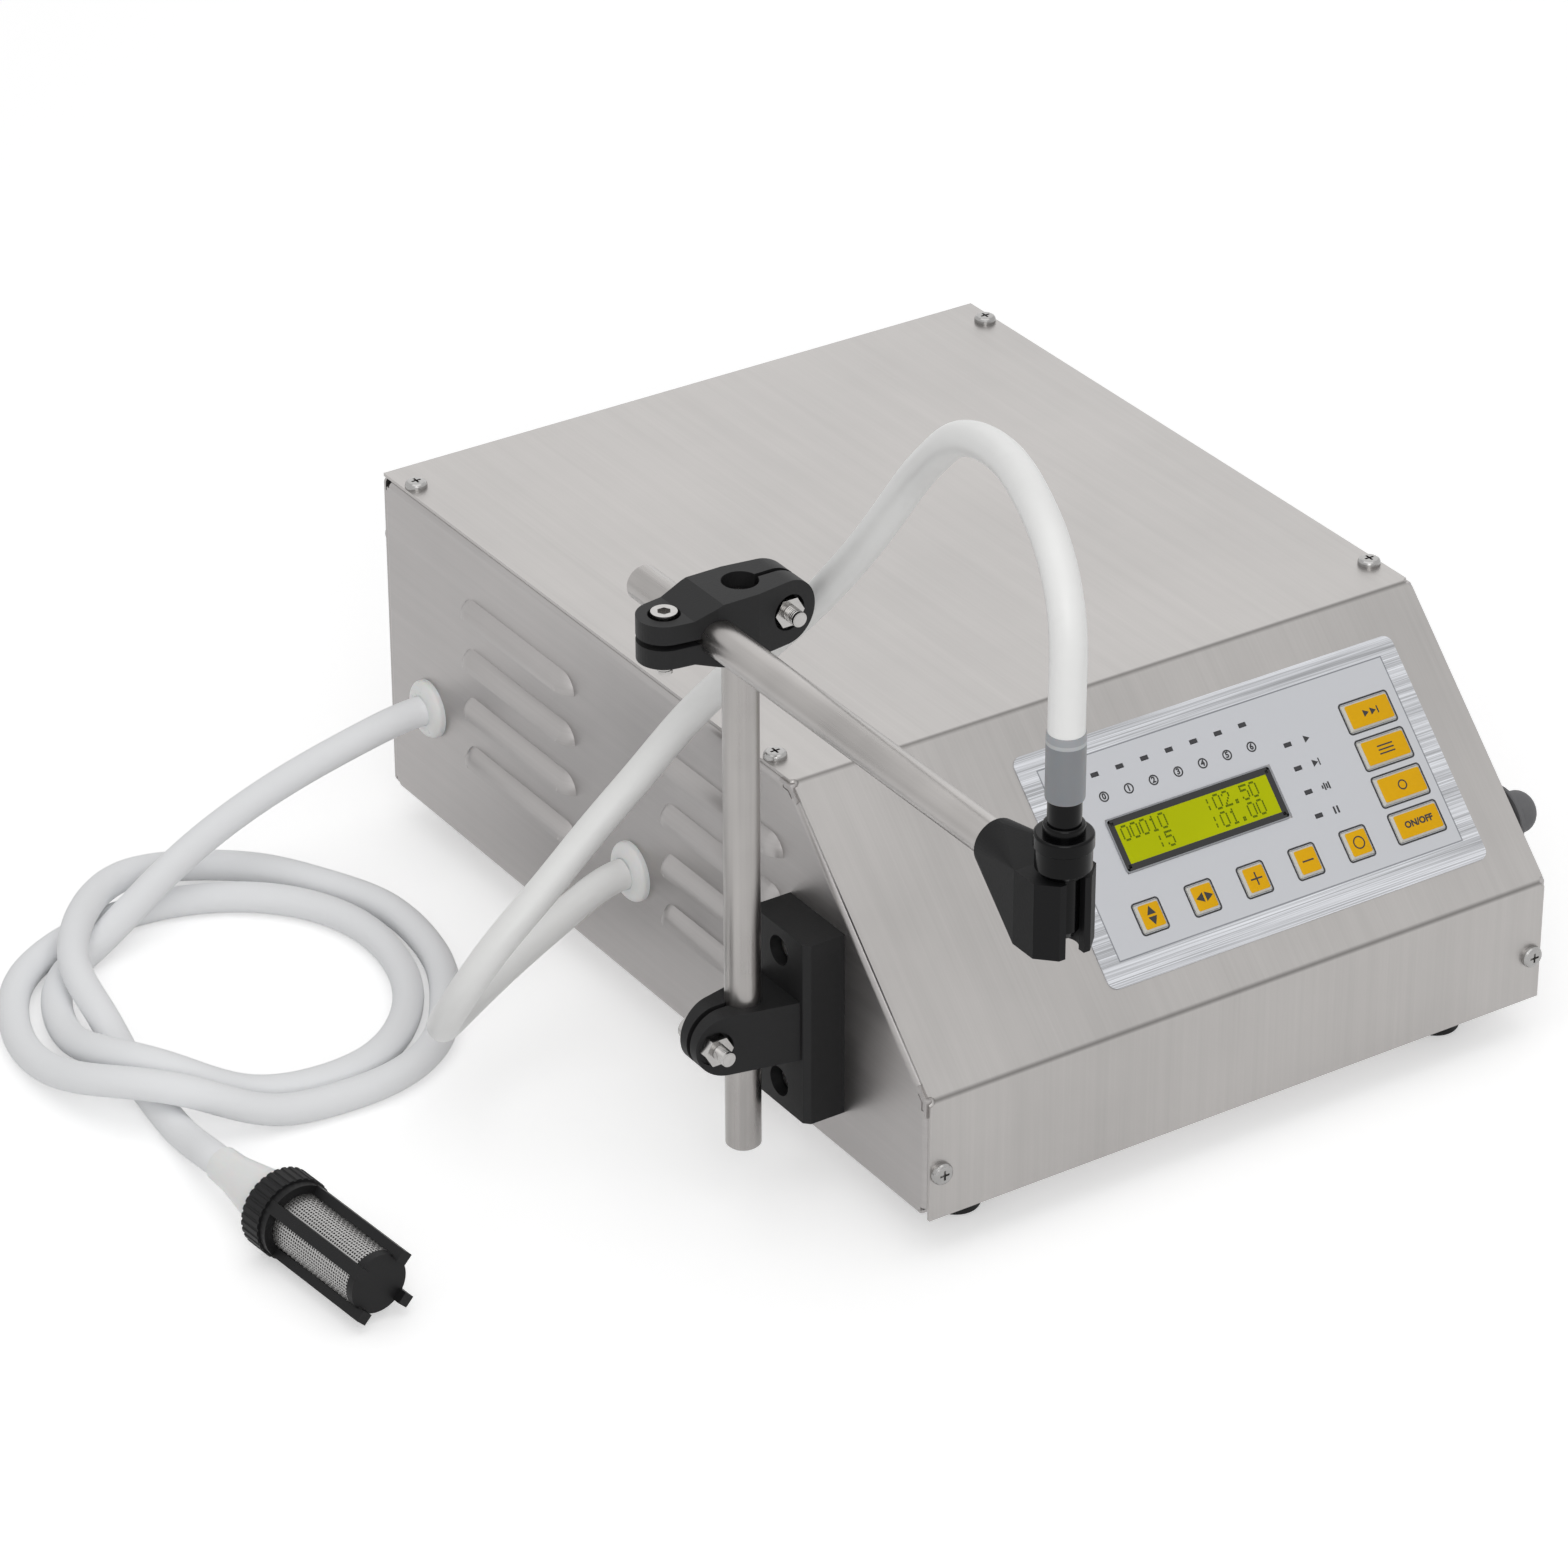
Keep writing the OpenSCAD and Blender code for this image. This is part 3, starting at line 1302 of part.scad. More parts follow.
// Hose inside the cabinet: from a wall collar to a port of the pump head, round one bend
module inner_hose(y, side) {
    bend_x = head_port_x - inner_bend;
    bend_y = y + side * inner_bend;
    color([0.93, 0.94, 0.95]) placed() translate([0, 0, port_z]) {
        translate([-side_x - collar_proud, y, 0]) rotate([0, 90, 0])
            ring(hose_d, hose_bore, bend_x + side_x + collar_proud);
        translate([bend_x, bend_y, 0]) rotate(side > 0 ? -90 : 0) rotate_extrude(angle = 90)
            translate([inner_bend, 0]) difference() {
                circle(d = hose_d);
                circle(d = hose_bore);
            }
        port_y = pump_y - side * (barb_y + hose_start);
        translate([head_port_x, port_y, 0]) rotate([side * 90, 0, 0])
            ring(hose_d, hose_bore, abs(port_y - bend_y));
    }
}

module inner_inlet_hose() {
    inner_hose(inlet_at, -1);
}

module inner_outlet_hose() {
    inner_hose(outlet_at, 1);
}

// Enclosed supply with vent slots and a terminal strip
module power_supply() {
    w = supply_size.x;
    l = supply_size.y;
    h = supply_size.z;
    slot_pitch = 8;
    color("lightgray") placed() translate([supply_at.x, supply_at.y, floor_top]) {
        for (x = [-1, 1], y = [-1, 1])
            translate([x * (w / 2 - 8), y * (l / 2 - 8), 0]) cylinder(d = 7, h = supply_pad + 1);
        translate([0, 0, supply_pad]) difference() {
            rounded_plate(w, l, h, 2);
            for (y = [-4:4]) translate([-w / 2 + 10, y * slot_pitch - 1.5, h - 1]) cube([w - 20, 3, 2]);
            translate([-w / 2 + 6, l / 2 - 14, h - 10]) cube([w - 12, 15, 11]);
        }
        translate([0, l / 2 - 8, supply_pad + h - 10]) for (i = [-3:3])
            translate([i * 9 - 4, -5, 0]) cube([8, 9, 7]);
    }
}

// Outline of the mains inlet's mouth, with its two upper corners cut
module cavity_outline() {
    w = cavity.x / 2;
    h = cavity.y / 2;
    c = cavity_corner;
    polygon([[-w, -h], [w, -h], [w, h - c], [w - c, h], [c - w, h], [-w, h - c]]);
}

module power_inlet() {
    color([0.1, 0.1, 0.1]) placed() on_rear(inlet_x, inlet_z) {
        difference() {
            union() {
                rounded_plate(inlet_flange.x, inlet_flange.y, inlet_flange.z, 5);
                translate([0, 0, -inlet_body.z]) rounded_plate(inlet_body.x, inlet_body.y, inlet_body.z, 2);
            }
            translate([0, 0, inlet_flange.z - cavity.z]) linear_extrude(cavity.z + 1) cavity_outline();
            for (x = [-1, 1]) translate([x * inlet_pitch / 2, 0, -1])
                cylinder(d = screw_d - 1 + 2 * fit, h = inlet_flange.z + 2);
        }
        for (p = [[-7, -2], [7, -2], [0, 2]])
            translate([p.x - blade.x / 2, p.y - blade.y / 2, inlet_flange.z - cavity.z - 1])
                cube([blade.x, blade.y, blade.z]);
    }
}

module switch_body() {
    room = [rocker_w + 0.8, 2 * rocker_reach + 0.8];
    color([0.1, 0.1, 0.1]) placed() on_rear(inlet_x, switch_z) difference() {
        union() {
            rounded_plate(switch_bezel.y, switch_bezel.x, switch_bezel.z, 1.5);
            translate([0, 0, -switch_depth])
                rounded_plate(switch_hole.y - 2 * fit, switch_hole.x - 2 * fit, switch_depth, 1);
        }
        translate([0, 0, -rocker_reach - 1]) linear_extrude(rocker_reach + 1 + switch_bezel.z + 1)
            square(room, center = true);
        translate([0, 0, rocker_y - rear_y]) rotate([0, 90, 0])
            cylinder(d = rocker_pin_d + 2 * rod_gap_r, h = rocker_w + 2.6, center = true);
    }
}

// Rocker in (z, out) about its pin, tilted to its first position
module switch_rocker() {
    l = rocker_l / 2;
    color([0.15, 0.15, 0.15]) placed() on_rear(inlet_x, switch_z)
        translate([0, 0, rocker_y - rear_y]) rotate([rocker_throw / 2, 0, 0]) {
            rotate([90, 0, 90]) linear_extrude(rocker_w, center = true) polygon([
                [-l, rocker_rise], [-l, rocker_rise - 3], [-l / 3, -l * 0.8], [l / 3, -l * 0.8],
                [l, rocker_rise - 3], [l, rocker_rise], [0, rocker_rise - rocker_dip]
            ]);
            rotate([0, 90, 0]) cylinder(d = rocker_pin_d, h = rocker_w + 2.2, center = true);
        }
}

base_tray();
top_cover();
rear_panel();
feet();
foot_screws();
cover_screws();
rear_screws();
control_label();
lcd_window();
lcd_module();
control_board();
board_standoffs();
tact_switches();
status_leds();
square_key(0);  // key_up_down
square_key(1);  // key_left_right
square_key(2);  // key_plus
square_key(3);  // key_minus
square_key(4);  // key_ring
wide_key(0);  // wide_key_1
wide_key(1);  // wide_key_2
wide_key(2);  // wide_key_3
wide_key(3);  // wide_key_4
inlet_collar();
outlet_collar();
collar_nuts();
foot_switch_socket();
socket_cap();
bracket();
bracket_screws();
bracket_nuts();
bracket_clamp_bolt();
post();
cross_clamp();
arm_clamp_screw();
post_clamp_bolt();
arm();
nozzle_holder();
nozzle();
nozzle_sleeve();
outlet_hose();
suction_hose();
strainer_fitting();
strainer_cap();
strainer_cage();
strainer_mesh();
pump_bracket();
pump_motor();
crank_housing();
pump_diaphragm();
pump_head();
pump_screws();
motor_straps();
pump_eccentric();
inner_inlet_hose();
inner_outlet_hose();
power_supply();
power_inlet();
switch_body();
switch_rocker();
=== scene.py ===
"""Looks of a benchtop liquid filling machine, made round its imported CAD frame.

Laid out as an add-on and run as a script. Lengths in the settings are metres; the places on the
machine are given in millimetres from the middle of the cabinet's base and turned into the row frame
by case() and slope().
"""

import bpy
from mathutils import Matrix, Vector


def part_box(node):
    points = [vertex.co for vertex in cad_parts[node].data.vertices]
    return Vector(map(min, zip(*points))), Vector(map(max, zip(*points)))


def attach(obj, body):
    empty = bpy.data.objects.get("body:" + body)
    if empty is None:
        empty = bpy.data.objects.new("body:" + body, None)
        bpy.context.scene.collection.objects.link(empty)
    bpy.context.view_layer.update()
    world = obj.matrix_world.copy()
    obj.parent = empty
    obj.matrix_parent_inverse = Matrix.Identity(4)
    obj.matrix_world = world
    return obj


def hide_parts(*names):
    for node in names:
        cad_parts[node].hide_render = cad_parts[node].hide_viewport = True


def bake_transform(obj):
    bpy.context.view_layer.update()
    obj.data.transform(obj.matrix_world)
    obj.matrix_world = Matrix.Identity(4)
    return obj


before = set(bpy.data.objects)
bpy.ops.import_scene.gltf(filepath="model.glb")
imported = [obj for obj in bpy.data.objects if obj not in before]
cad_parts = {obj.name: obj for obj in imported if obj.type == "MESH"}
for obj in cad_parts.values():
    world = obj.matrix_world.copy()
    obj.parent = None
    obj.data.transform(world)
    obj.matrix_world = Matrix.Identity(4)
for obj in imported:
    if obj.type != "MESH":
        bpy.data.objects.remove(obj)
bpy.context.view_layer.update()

import math

import bpy
import numpy as np
from bpy.props import FloatProperty, FloatVectorProperty, IntProperty, PointerProperty
from mathutils import Matrix, Vector

bl_info = {
    "name": "Liquid filling machine",
    "version": (1, 0, 0),
    "blender": (4, 5, 0),
    "location": "3D View > Sidebar > Filler",
    "description": "Builds the hoses, panel, keys, strainer and finishes round the CAD frame",
    "category": "Object",
}

MM = 0.001
COVER_LOW, COVER_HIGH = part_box("top_cover")
CASE = np.array([(COVER_LOW.x + COVER_HIGH.x) / 2, (COVER_LOW.y + COVER_HIGH.y) / 2, 0.0])
TOP = COVER_HIGH.z / MM
FRONT = (COVER_LOW.y - CASE[1]) / MM
SLOPE_LENGTH = 113.0  # Down the sloping panel, from fold to fold
HALF_ROOT = math.sqrt(0.5)
FOLD = FRONT + SLOPE_LENGTH * HALF_ROOT
LIP = TOP - SLOPE_LENGTH * HALF_ROOT

# Heights out of the sloping panel, and places on it as (x, s), in the way of slope()
LABEL_FACE = 0.4
KEY_FACE = 1.4
LABEL_PRINT = 0.05  # Height of the print on the label
PRINT_HEIGHT = 0.04  # Height of the signs on the keys and the rocker
FIELD_AT, FIELD_HALF = (30.6, 56.3), (71.2, 34.3)
DISPLAY_AT = (9.1, 54.5)

# Routes of the hoses, repeated from the part's source
OUTLET_ROUTE = [
    (-131, 6, 60), (-154, 6, 52), (-175, 4, 43), (-197, -1, 35), (-215, -15, 39), (-217, -30, 58),
    (-206, -35, 76), (-187, -35, 92), (-167, -33, 107), (-149, -35, 124), (-136, -43, 144),
    (-129, -59, 165), (-126, -77, 185), (-124, -96, 205), (-122, -115, 227), (-121, -134, 251),
    (-122, -153, 275), (-128, -173, 293), (-135, -194, 309), (-142, -218, 320), (-150, -243, 326),
    (-159, -267, 327), (-166, -288, 320), (-170, -300, 304), (-171, -302, 287), (-171, -302, 269),
]
SUCTION_ROUTE = [
    (-131, 142, 59), (-155, 143, 55), (-177, 148, 46), (-198, 152, 36), (-220, 152, 26),
    (-242, 147, 17), (-263, 141, 8.5), (-283, 130, 6), (-296, 110, 6.5), (-302, 87, 9.5),
    (-301, 63, 16.5), (-289, 40, 18), (-269, 28, 9), (-246, 22.5, 6), (-222, 24.5, 6),
    (-201, 38.5, 6), (-187, 59, 6), (-180.5, 82, 6), (-181, 106, 6), (-191, 129, 6), (-208, 145, 6),
    (-230, 154, 6), (-254, 155, 6), (-277, 149, 6), (-297, 136, 6), (-310.5, 115, 6), (-317, 91, 7),
    (-316, 67, 11), (-307, 43, 17.5), (-290, 23, 18), (-267, 13, 8.5), (-243, 10, 6), (-219, 11.5, 6),
    (-198, 22, 6), (-182, 42, 6), (-171, 64, 6), (-166, 88, 6), (-167, 112, 6), (-177, 136, 6),
    (-191, 158, 6), (-212, 173, 6.5), (-236, 170, 12.5), (-257, 156, 17.5), (-274, 137.5, 19),
    (-285.5, 116, 17), (-288, 93, 11.5), (-291, 69, 6), (-294.5, 45, 6), (-297, 22, 6.5),
    (-299, 2, 10.5), (-300.5, -15.5, 14.5),
]
OUTLET_ENDS = ((-131, 6, 59), (-171, -302, 269))
SUCTION_START = (-131, 142, 59)
HOSE_SMOOTH = 60  # Degrees up to which a hose's edges are smooth
FITTING_REACH = 36.6  # From the middle of the strainer's cap back to the hose's end
STRAINER_AT = (-297.0, -52.5, 14.5)
STRAINER_TURN = math.radians(5.3)
STRAINER_AXIS = np.array([math.sin(STRAINER_TURN), -math.cos(STRAINER_TURN), 0.0])
NOZZLE_AT = (-171.0, -302.0)


# Places


def case(points):
    """Millimetres from the middle of the cabinet's base, turned into metres in the row frame."""
    return np.asarray(points, float) * MM + CASE


def slope(points):
    """Points (x, s, w) on the sloping panel, with x from the middle, s down from the upper fold and w
    out from its face: y = fold - (s + w) / sqrt 2 and z = top + (w - s) / sqrt 2."""
    x, s, w = np.asarray(points, float).reshape(-1, 3).T
    return case(np.stack([x, FOLD - (s + w) * HALF_ROOT, TOP + (w - s) * HALF_ROOT], 1))


# Curves and surfaces


def pulled(route, first, last):
    """The route with its ends moved to first and last, and both moves spread smoothly along it: point i
    moves by (1 - w) of the first move and w of the last, with w = t * t * (3 - 2 t) and t = i / n."""
    route = np.asarray(route, float)
    t = np.linspace(0, 1, len(route))[:, None]
    w = t * t * (3 - 2 * t)
    return route + (1 - w) * (np.asarray(first) - route[0]) + w * (np.asarray(last) - route[-1])


def smooth_route(points, first, last, step):
    """Clamped cubic spline through the points, sampled about every step. The slopes at the points solve
    the usual tridiagonal system, with the given directions at both ends."""
    p = np.asarray(points, float)
    h = np.linalg.norm(np.diff(p, axis=0), axis=1)
    n = len(p)
    system, right = np.zeros((n, n)), np.zeros((n, 3))
    system[0, 0] = system[-1, -1] = 1
    right[0], right[-1] = first, last
    inner = np.arange(1, n - 1)
    system[inner, inner - 1] = h[1:]
    system[inner, inner] = 2 * (h[1:] + h[:-1])
    system[inner, inner + 1] = h[:-1]
    chord = np.diff(p, axis=0) / h[:, None]
    right[1:-1] = 3 * (h[1:, None] * chord[:-1] + h[:-1, None] * chord[1:])
    m = np.linalg.solve(system, right)
    place = np.concatenate([[0], np.cumsum(h)])
    s = np.linspace(0, place[-1], max(2, int(round(place[-1] / step))) + 1)
    i = np.clip(np.searchsorted(place, s, side="right") - 1, 0, n - 2)
    t = ((s - place[i]) / h[i])[:, None]
    span = h[i][:, None]
    return (
        (2 * t**3 - 3 * t**2 + 1) * p[i] + (t**3 - 2 * t**2 + t) * span * m[i]
        + (3 * t**2 - 2 * t**3) * p[i + 1] + (t**3 - t**2) * span * m[i + 1]
    )


def circle(steps):
    """Points (cos a, sin a) of the unit circle, anticlockwise."""
    a = np.arange(steps) * 2 * math.pi / steps
    return np.stack([np.cos(a), np.sin(a)], 1)


def carried_frames(path):
    """Two directions across the path at each point, carried along it without twist: each side is the
    one before it less its part along the new tangent, made a unit again, and up = tangent x side."""
    tangent = np.gradient(path, axis=0)
    tangent /= np.linalg.norm(tangent, axis=1)[:, None]
    side = np.empty_like(tangent)
    seed = np.cross(tangent[0], (0.3, 1.0, 0.2))
    for i, t in enumerate(tangent):
        seed = seed - (seed @ t) * t
        seed /= np.linalg.norm(seed)
        side[i] = seed
    return side, np.cross(tangent, side)


def tube_rings(path, radius, sides):
    """Circles of the radius round each point of the path: point + r (cos a side + sin a up)."""
    side, up = carried_frames(path)
    cos, sin = circle(sides).T[:, None, :, None]
    return path[:, None] + radius * (cos * side[:, None] + sin * up[:, None])


def ring_faces(rows, sides, closed=False):
    """Quads between neighbouring rings, turned so that they face away from the rings' line."""
    i, k = np.meshgrid(np.arange(rows if closed else rows - 1), np.arange(sides), indexing="ij")
    a, b, j = i * sides, (i + 1) % rows * sides, (k + 1) % sides
    return np.stack([a + k, a + j, b + j, b + k], -1).reshape(-1, 4).tolist()


def raised(flat, height):
    """Rings of flat points (x, y), each set at its height."""
    return np.concatenate([flat, np.broadcast_to(height, flat.shape[:2] + (1,))], 2)


def shell(rings, closed=False, turned=False):
    """Vertices and faces of a surface from its rings: its last ring joined to its first where it is
    closed, and otherwise one face over each end. Turned faces look the other way."""
    rows, sides = rings.shape[:2]
    faces = ring_faces(rows, sides, closed)
    if not closed:
        faces.append(list(range(sides - 1, -1, -1)))
        faces.append(list(range((rows - 1) * sides, rows * sides)))
    if turned:
        faces = [face[::-1] for face in faces]
    return rings.reshape(-1, 3), faces


def joined(parts):
    """One list of vertices and faces from several."""
    points, faces, start = [], [], 0
    for p, f in parts:
        points.append(np.asarray(p))
        faces += [[start + i for i in face] for face in f]
        start += len(p)
    return np.concatenate(points), faces


def rounded_outline(width, length, radius, steps=6):
    """Rectangle with round corners, anticlockwise, with the outward normal at each point."""
    a = np.linspace(0, math.pi / 2, steps + 1)
    a = np.concatenate([a + q * math.pi / 2 for q in range(4)])
    quarter = np.repeat(np.arange(4), steps + 1)
    cx = np.where((quarter == 0) | (quarter == 3), 1, -1) * (width / 2 - radius)
    cy = np.where(quarter < 2, 1, -1) * (length / 2 - radius)
    normal = np.stack([np.cos(a), np.sin(a)], 1)
    return np.stack([cx, cy], 1) + radius * normal, normal


def circle_outline(radius, steps=24):
    """Circle, anticlockwise, with its outward normals."""
    normal = circle(steps)
    return radius * normal, normal


def moulding(outline, profile, closed=False):
    """A profile of (inset, height) carried round an outline: ring i is the outline moved in by its inset
    at its height. An open profile runs from the foot to the middle of the top."""
    points, normal = outline
    profile = np.asarray(profile, float)
    flat = points[None] - profile[:, None, :1] * normal[None]
    return shell(raised(flat, profile[:, None, 1:]), closed)


def printed_line(outline, width, height=LABEL_PRINT):
    """A raised line of the width along the inner side of an outline."""
    return moulding(outline, [(0, 0), (0, height), (width, height), (width, 0)], True)


def prism(corners, low, high):
    """A flat outline, anticlockwise, drawn up from low to high."""
    flat = np.asarray(corners, float)
    rings = np.stack([np.column_stack([flat, np.full(len(flat), h)]) for h in (low, high)])
    return shell(rings)


def lathe(profile, sides=48):
    """Rings of a surface of revolution of (radius, height) about Z: point = (r cos a, r sin a, h)."""
    profile = np.asarray(profile, float)
    return raised(profile[:, None, :1] * circle(sides), profile[:, None, 1:])


def on_panel(part, x, s, w=0.0):
    """Puts a part drawn in (right, up the slope, out) on the sloping panel at x, s, w."""
    points, faces = part
    moved = np.asarray(points) * (1, -1, 1) + (x, s, w)
    return slope(moved), faces


def linked(name, data):
    """A new object that shows the data, linked to the scene."""
    made = bpy.data.objects.new(name, data)
    bpy.context.scene.collection.objects.link(made)
    return made


def piece(name, part, finish, body, smooth=35):
    """Makes the mesh of a piece from its vertices and faces, with its finish and body. Edges of
    more than smooth degrees are sharp. A piece given no body is left unattached."""
    points, faces = part
    mesh = bpy.data.meshes.new(name)
    mesh.from_pydata(np.asarray(points).tolist(), [], faces)
    mesh.update()
    mesh.polygons.foreach_set("use_smooth", [True] * len(mesh.polygons))
    mesh.set_sharp_from_angle(angle=math.radians(smooth))
    mesh.materials.append(finish)
    made = linked(name, mesh)
    if body:
        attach(made, body)
    return made


# Finishes


class Wire:
    """An output in a node tree. Arithmetic on wires adds Math nodes, and node() any other node."""

    def __init__(self, tree, socket):
        self.tree, self.socket = tree, socket

    def node(self, kind, settings=None, inputs=None, output=0):
        """Adds a node, sets its settings first and then its sockets to values or links."""
        made = self.tree.nodes.new(kind)
        for name, value in (settings or {}).items():
            setattr(made, name, value)
        for key, value in (inputs or {}).items():
            if isinstance(value, Wire):
                self.tree.links.new(value.socket, made.inputs[key])
            else:
                made.inputs[key].default_value = value
        return Wire(self.tree, made.outputs[output])

    def math(self, operation, *others):
        return self.node("ShaderNodeMath", {"operation": operation}, dict(enumerate((self, *others))))

    def __add__(self, other):
        return self.math("ADD", other)

    __radd__ = __add__

    def __sub__(self, other):
        return self.math("SUBTRACT", other)

    def __rsub__(self, other):
        return (self * -1) + other

    def __mul__(self, other):
        return self.math("MULTIPLY", other)

    __rmul__ = __mul__

    def __abs__(self):
        return self.math("ABSOLUTE")

    def above(self, edge):
        """1 where this is greater than edge, else 0."""
        return self.math("GREATER_THAN", edge)

    def larger(self, other):
        return self.math("MAXIMUM", other)

    def mixed(self, low, high):
        """The colour low where this is 0 and high where it is 1."""
        return self.node("ShaderNodeMix", {"data_type": "RGBA"}, {0: self, 6: low, 7: high}, 2)

    def between(self, low, high):
        """A number from low to high as this goes from 0 to 1."""
        return self * (high - low) + low


class Finish:
    """A material with one Principled shader, fed from the object's own coordinates."""

    def __init__(self, name, colour, roughness, metallic=0.0, **constants):
        self.material = bpy.data.materials.new(name)
        self.material.use_nodes = True
        self.tree = self.material.node_tree
        self.shader = self.tree.nodes["Principled BSDF"]
        self.colour = (*colour, 1.0)
        self.set("Base Color", self.colour)
        self.set("Roughness", roughness)
        self.set("Metallic", metallic)
        for socket, value in constants.items():
            self.set(socket.replace("_", " "), value)
        self.place = Wire(self.tree, self.tree.nodes.new("ShaderNodeTexCoord").outputs["Object"])

    def set(self, socket, value):
        if isinstance(value, Wire):
            self.tree.links.new(value.socket, self.shader.inputs[socket])
        else:
            self.shader.inputs[socket].default_value = value

    def scaled(self, scale, shift=(0, 0, 0)):
        """The object's coordinates, less shift and then stretched."""
        moved = self.place.node(
            "ShaderNodeVectorMath", {"operation": "SUBTRACT"}, {0: self.place, 1: tuple(shift)}
        )
        return moved.node("ShaderNodeVectorMath", {"operation": "MULTIPLY"}, {0: moved, 1: tuple(scale)})

    def axes(self, shift):
        """The coordinates x, y and z in millimetres from the place shift, which is in metres."""
        x = self.place.node("ShaderNodeSeparateXYZ", {}, {0: self.scaled((1 / MM,) * 3, shift)})
        return [x] + [Wire(self.tree, x.socket.node.outputs[i]) for i in (1, 2)]

    def noise(self, scale, detail=2.0, rough=0.5):
        """Noise from 0 to 1; scale is in features per metre along X, Y and Z."""
        return self.place.node(
            "ShaderNodeTexNoise", {}, {"Vector": self.scaled(scale), "Scale": 1.0, "Detail": detail,
                                       "Roughness": rough}
        )

    def bump(self, height, strength, distance):
        self.set("Normal", height.node(
            "ShaderNodeBump", {}, {"Strength": strength, "Distance": distance, "Height": height}
        ))

    def shades(self, wire, spread):
        """The finish's colour, darker by spread where the wire is 0 and lighter where it is 1."""
        low, high = (
            (*(min(1.0, c * factor) for c in self.colour[:3]), 1.0) for factor in (1 - spread, 1 + spread)
        )
        return wire.mixed(low, high)


def moulded(name, colour, roughness, grain=900, spread=0.12, depth=0.00006, metallic=0.0, **constants):
    """Moulded, cast or painted surface: fine grain in its bump, slow change in colour and gloss."""
    made = Finish(name, colour, roughness, metallic, **constants)
    slow, fine = made.noise((22, 22, 22)), made.noise((grain,) * 3, 3)
    made.set("Base Color", made.shades(slow * 0.6 + fine * 0.4, spread))
    made.set("Roughness", (slow * 0.5 + fine * 0.5).between(roughness - 0.08, roughness + 0.08))
    made.bump(fine, 0.35, depth)
    return made


def drawn_metal(name, colour, roughness, stretch, spread=0.1):
    """Ground or brushed metal: hairlines and broader bands, which run the way that stretch is least,
    with soft smudges over them."""
    made = Finish(name, colour, roughness, 1.0)
    fine, bands = made.noise(stretch, 4, 0.65), made.noise([v * 0.16 + 4 for v in stretch], 3, 0.7)
    lines = (fine * 0.5 + bands * 0.5 - 0.5) * 1.8 + 0.5
    smudge = (made.noise((9, 9, 9), 4, 0.6) - 0.5) * 2.2 + 0.5
    made.set("Base Color", made.shades(lines * 0.5 + smudge * 0.5, spread))
    made.set("Roughness", (fine * 0.5 + smudge * 0.5).between(roughness - 0.1, roughness + 0.12))
    made.bump(fine, 0.25, 0.00003)
    return made


def shade_folds(made):
    """Darkens thin lines along the cover's two folds, where the bent sheet turns away from the light:
    1 at the fold, falling to 0 at the line's half width."""
    half_width, strength, shade = 1 / 750, 0.8, (0.1, 0.095, 0.09, 1.0)
    folds = [(0, y, z) for _, y, z in case([(0, FOLD, TOP), (0, FRONT, LIP)]).tolist()]
    flat = made.scaled((0, 1, 1))
    dark = 0
    for fold in folds:
        far = flat.node("ShaderNodeVectorMath", {"operation": "DISTANCE"}, {0: flat, 1: fold}, 1)
        dark = (1 - far * (1 / half_width)).larger(0.0) + dark
    sheet = Wire(made.tree, made.shader.inputs["Base Color"].links[0].from_socket)
    made.set("Base Color", (dark * strength).mixed(sheet, shade))


def label_finish(settings):
    """Silver film: hairlines in the border outside a thin grey frame line, a plain field inside it."""
    made = Finish(
        "silver_label", settings.label_colour, 0.36, 0.25, Coat_Weight=0.25, Coat_Roughness=0.25
    )
    x, y, z = made.axes(CASE)
    s = ((FOLD + TOP) - (y + z)) * HALF_ROOT
    half_line, contrast, spread = 0.24, 4.5, 0.42
    # Distance out of the field's edge, less than 0 inside the field
    edge = (abs(x - FIELD_AT[0]) - FIELD_HALF[0]).larger(abs(s - FIELD_AT[1]) - FIELD_HALF[1])
    border, line = edge.above(0.0), 1 - abs(edge).above(half_line)
    hair = made.noise((12, 2600, 2600), 3, 0.7)
    broad = made.noise((5, 420, 420), 2, 0.6)
    streaks = (hair * 0.65 + broad * 0.35 - 0.5) * contrast + 0.5
    lined = streaks.node("ShaderNodeClamp", {}, {0: streaks}) * border + 0.5 * (1 - border)
    silver = made.shades(lined, spread)
    made.set("Base Color", (line * 0.75).mixed(silver, (0.16, 0.17, 0.19, 1.0)))
    made.set("Roughness", (hair * border).between(0.34, 0.5))
    made.bump(hair * border, 0.2, 0.00003)
    return made.material


def inlet_finish():
    """Black moulding with bright contacts, told by their place: within half_width and half_height of the
    inlet's middle, and between the depths mouth and floor."""
    half_width, half_height, mouth, floor = 8.2, 4.2, -3.6, -13.95
    made = moulded("inlet_black", (0.022, 0.022, 0.024), 0.5)
    low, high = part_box("power_inlet")
    x, y, z = made.axes(((low.x + high.x) / 2, high.y, (low.z + high.z) / 2))
    inside = (1 - abs(z).above(half_height)) * (1 - abs(x).above(half_width))
    inside = inside * (1 - y.above(mouth)) * y.above(floor)
    made.set("Base Color", inside.mixed(made.colour, (0.72, 0.66, 0.5, 1.0)))
    made.set("Metallic", inside)
    return made.material


# Settings


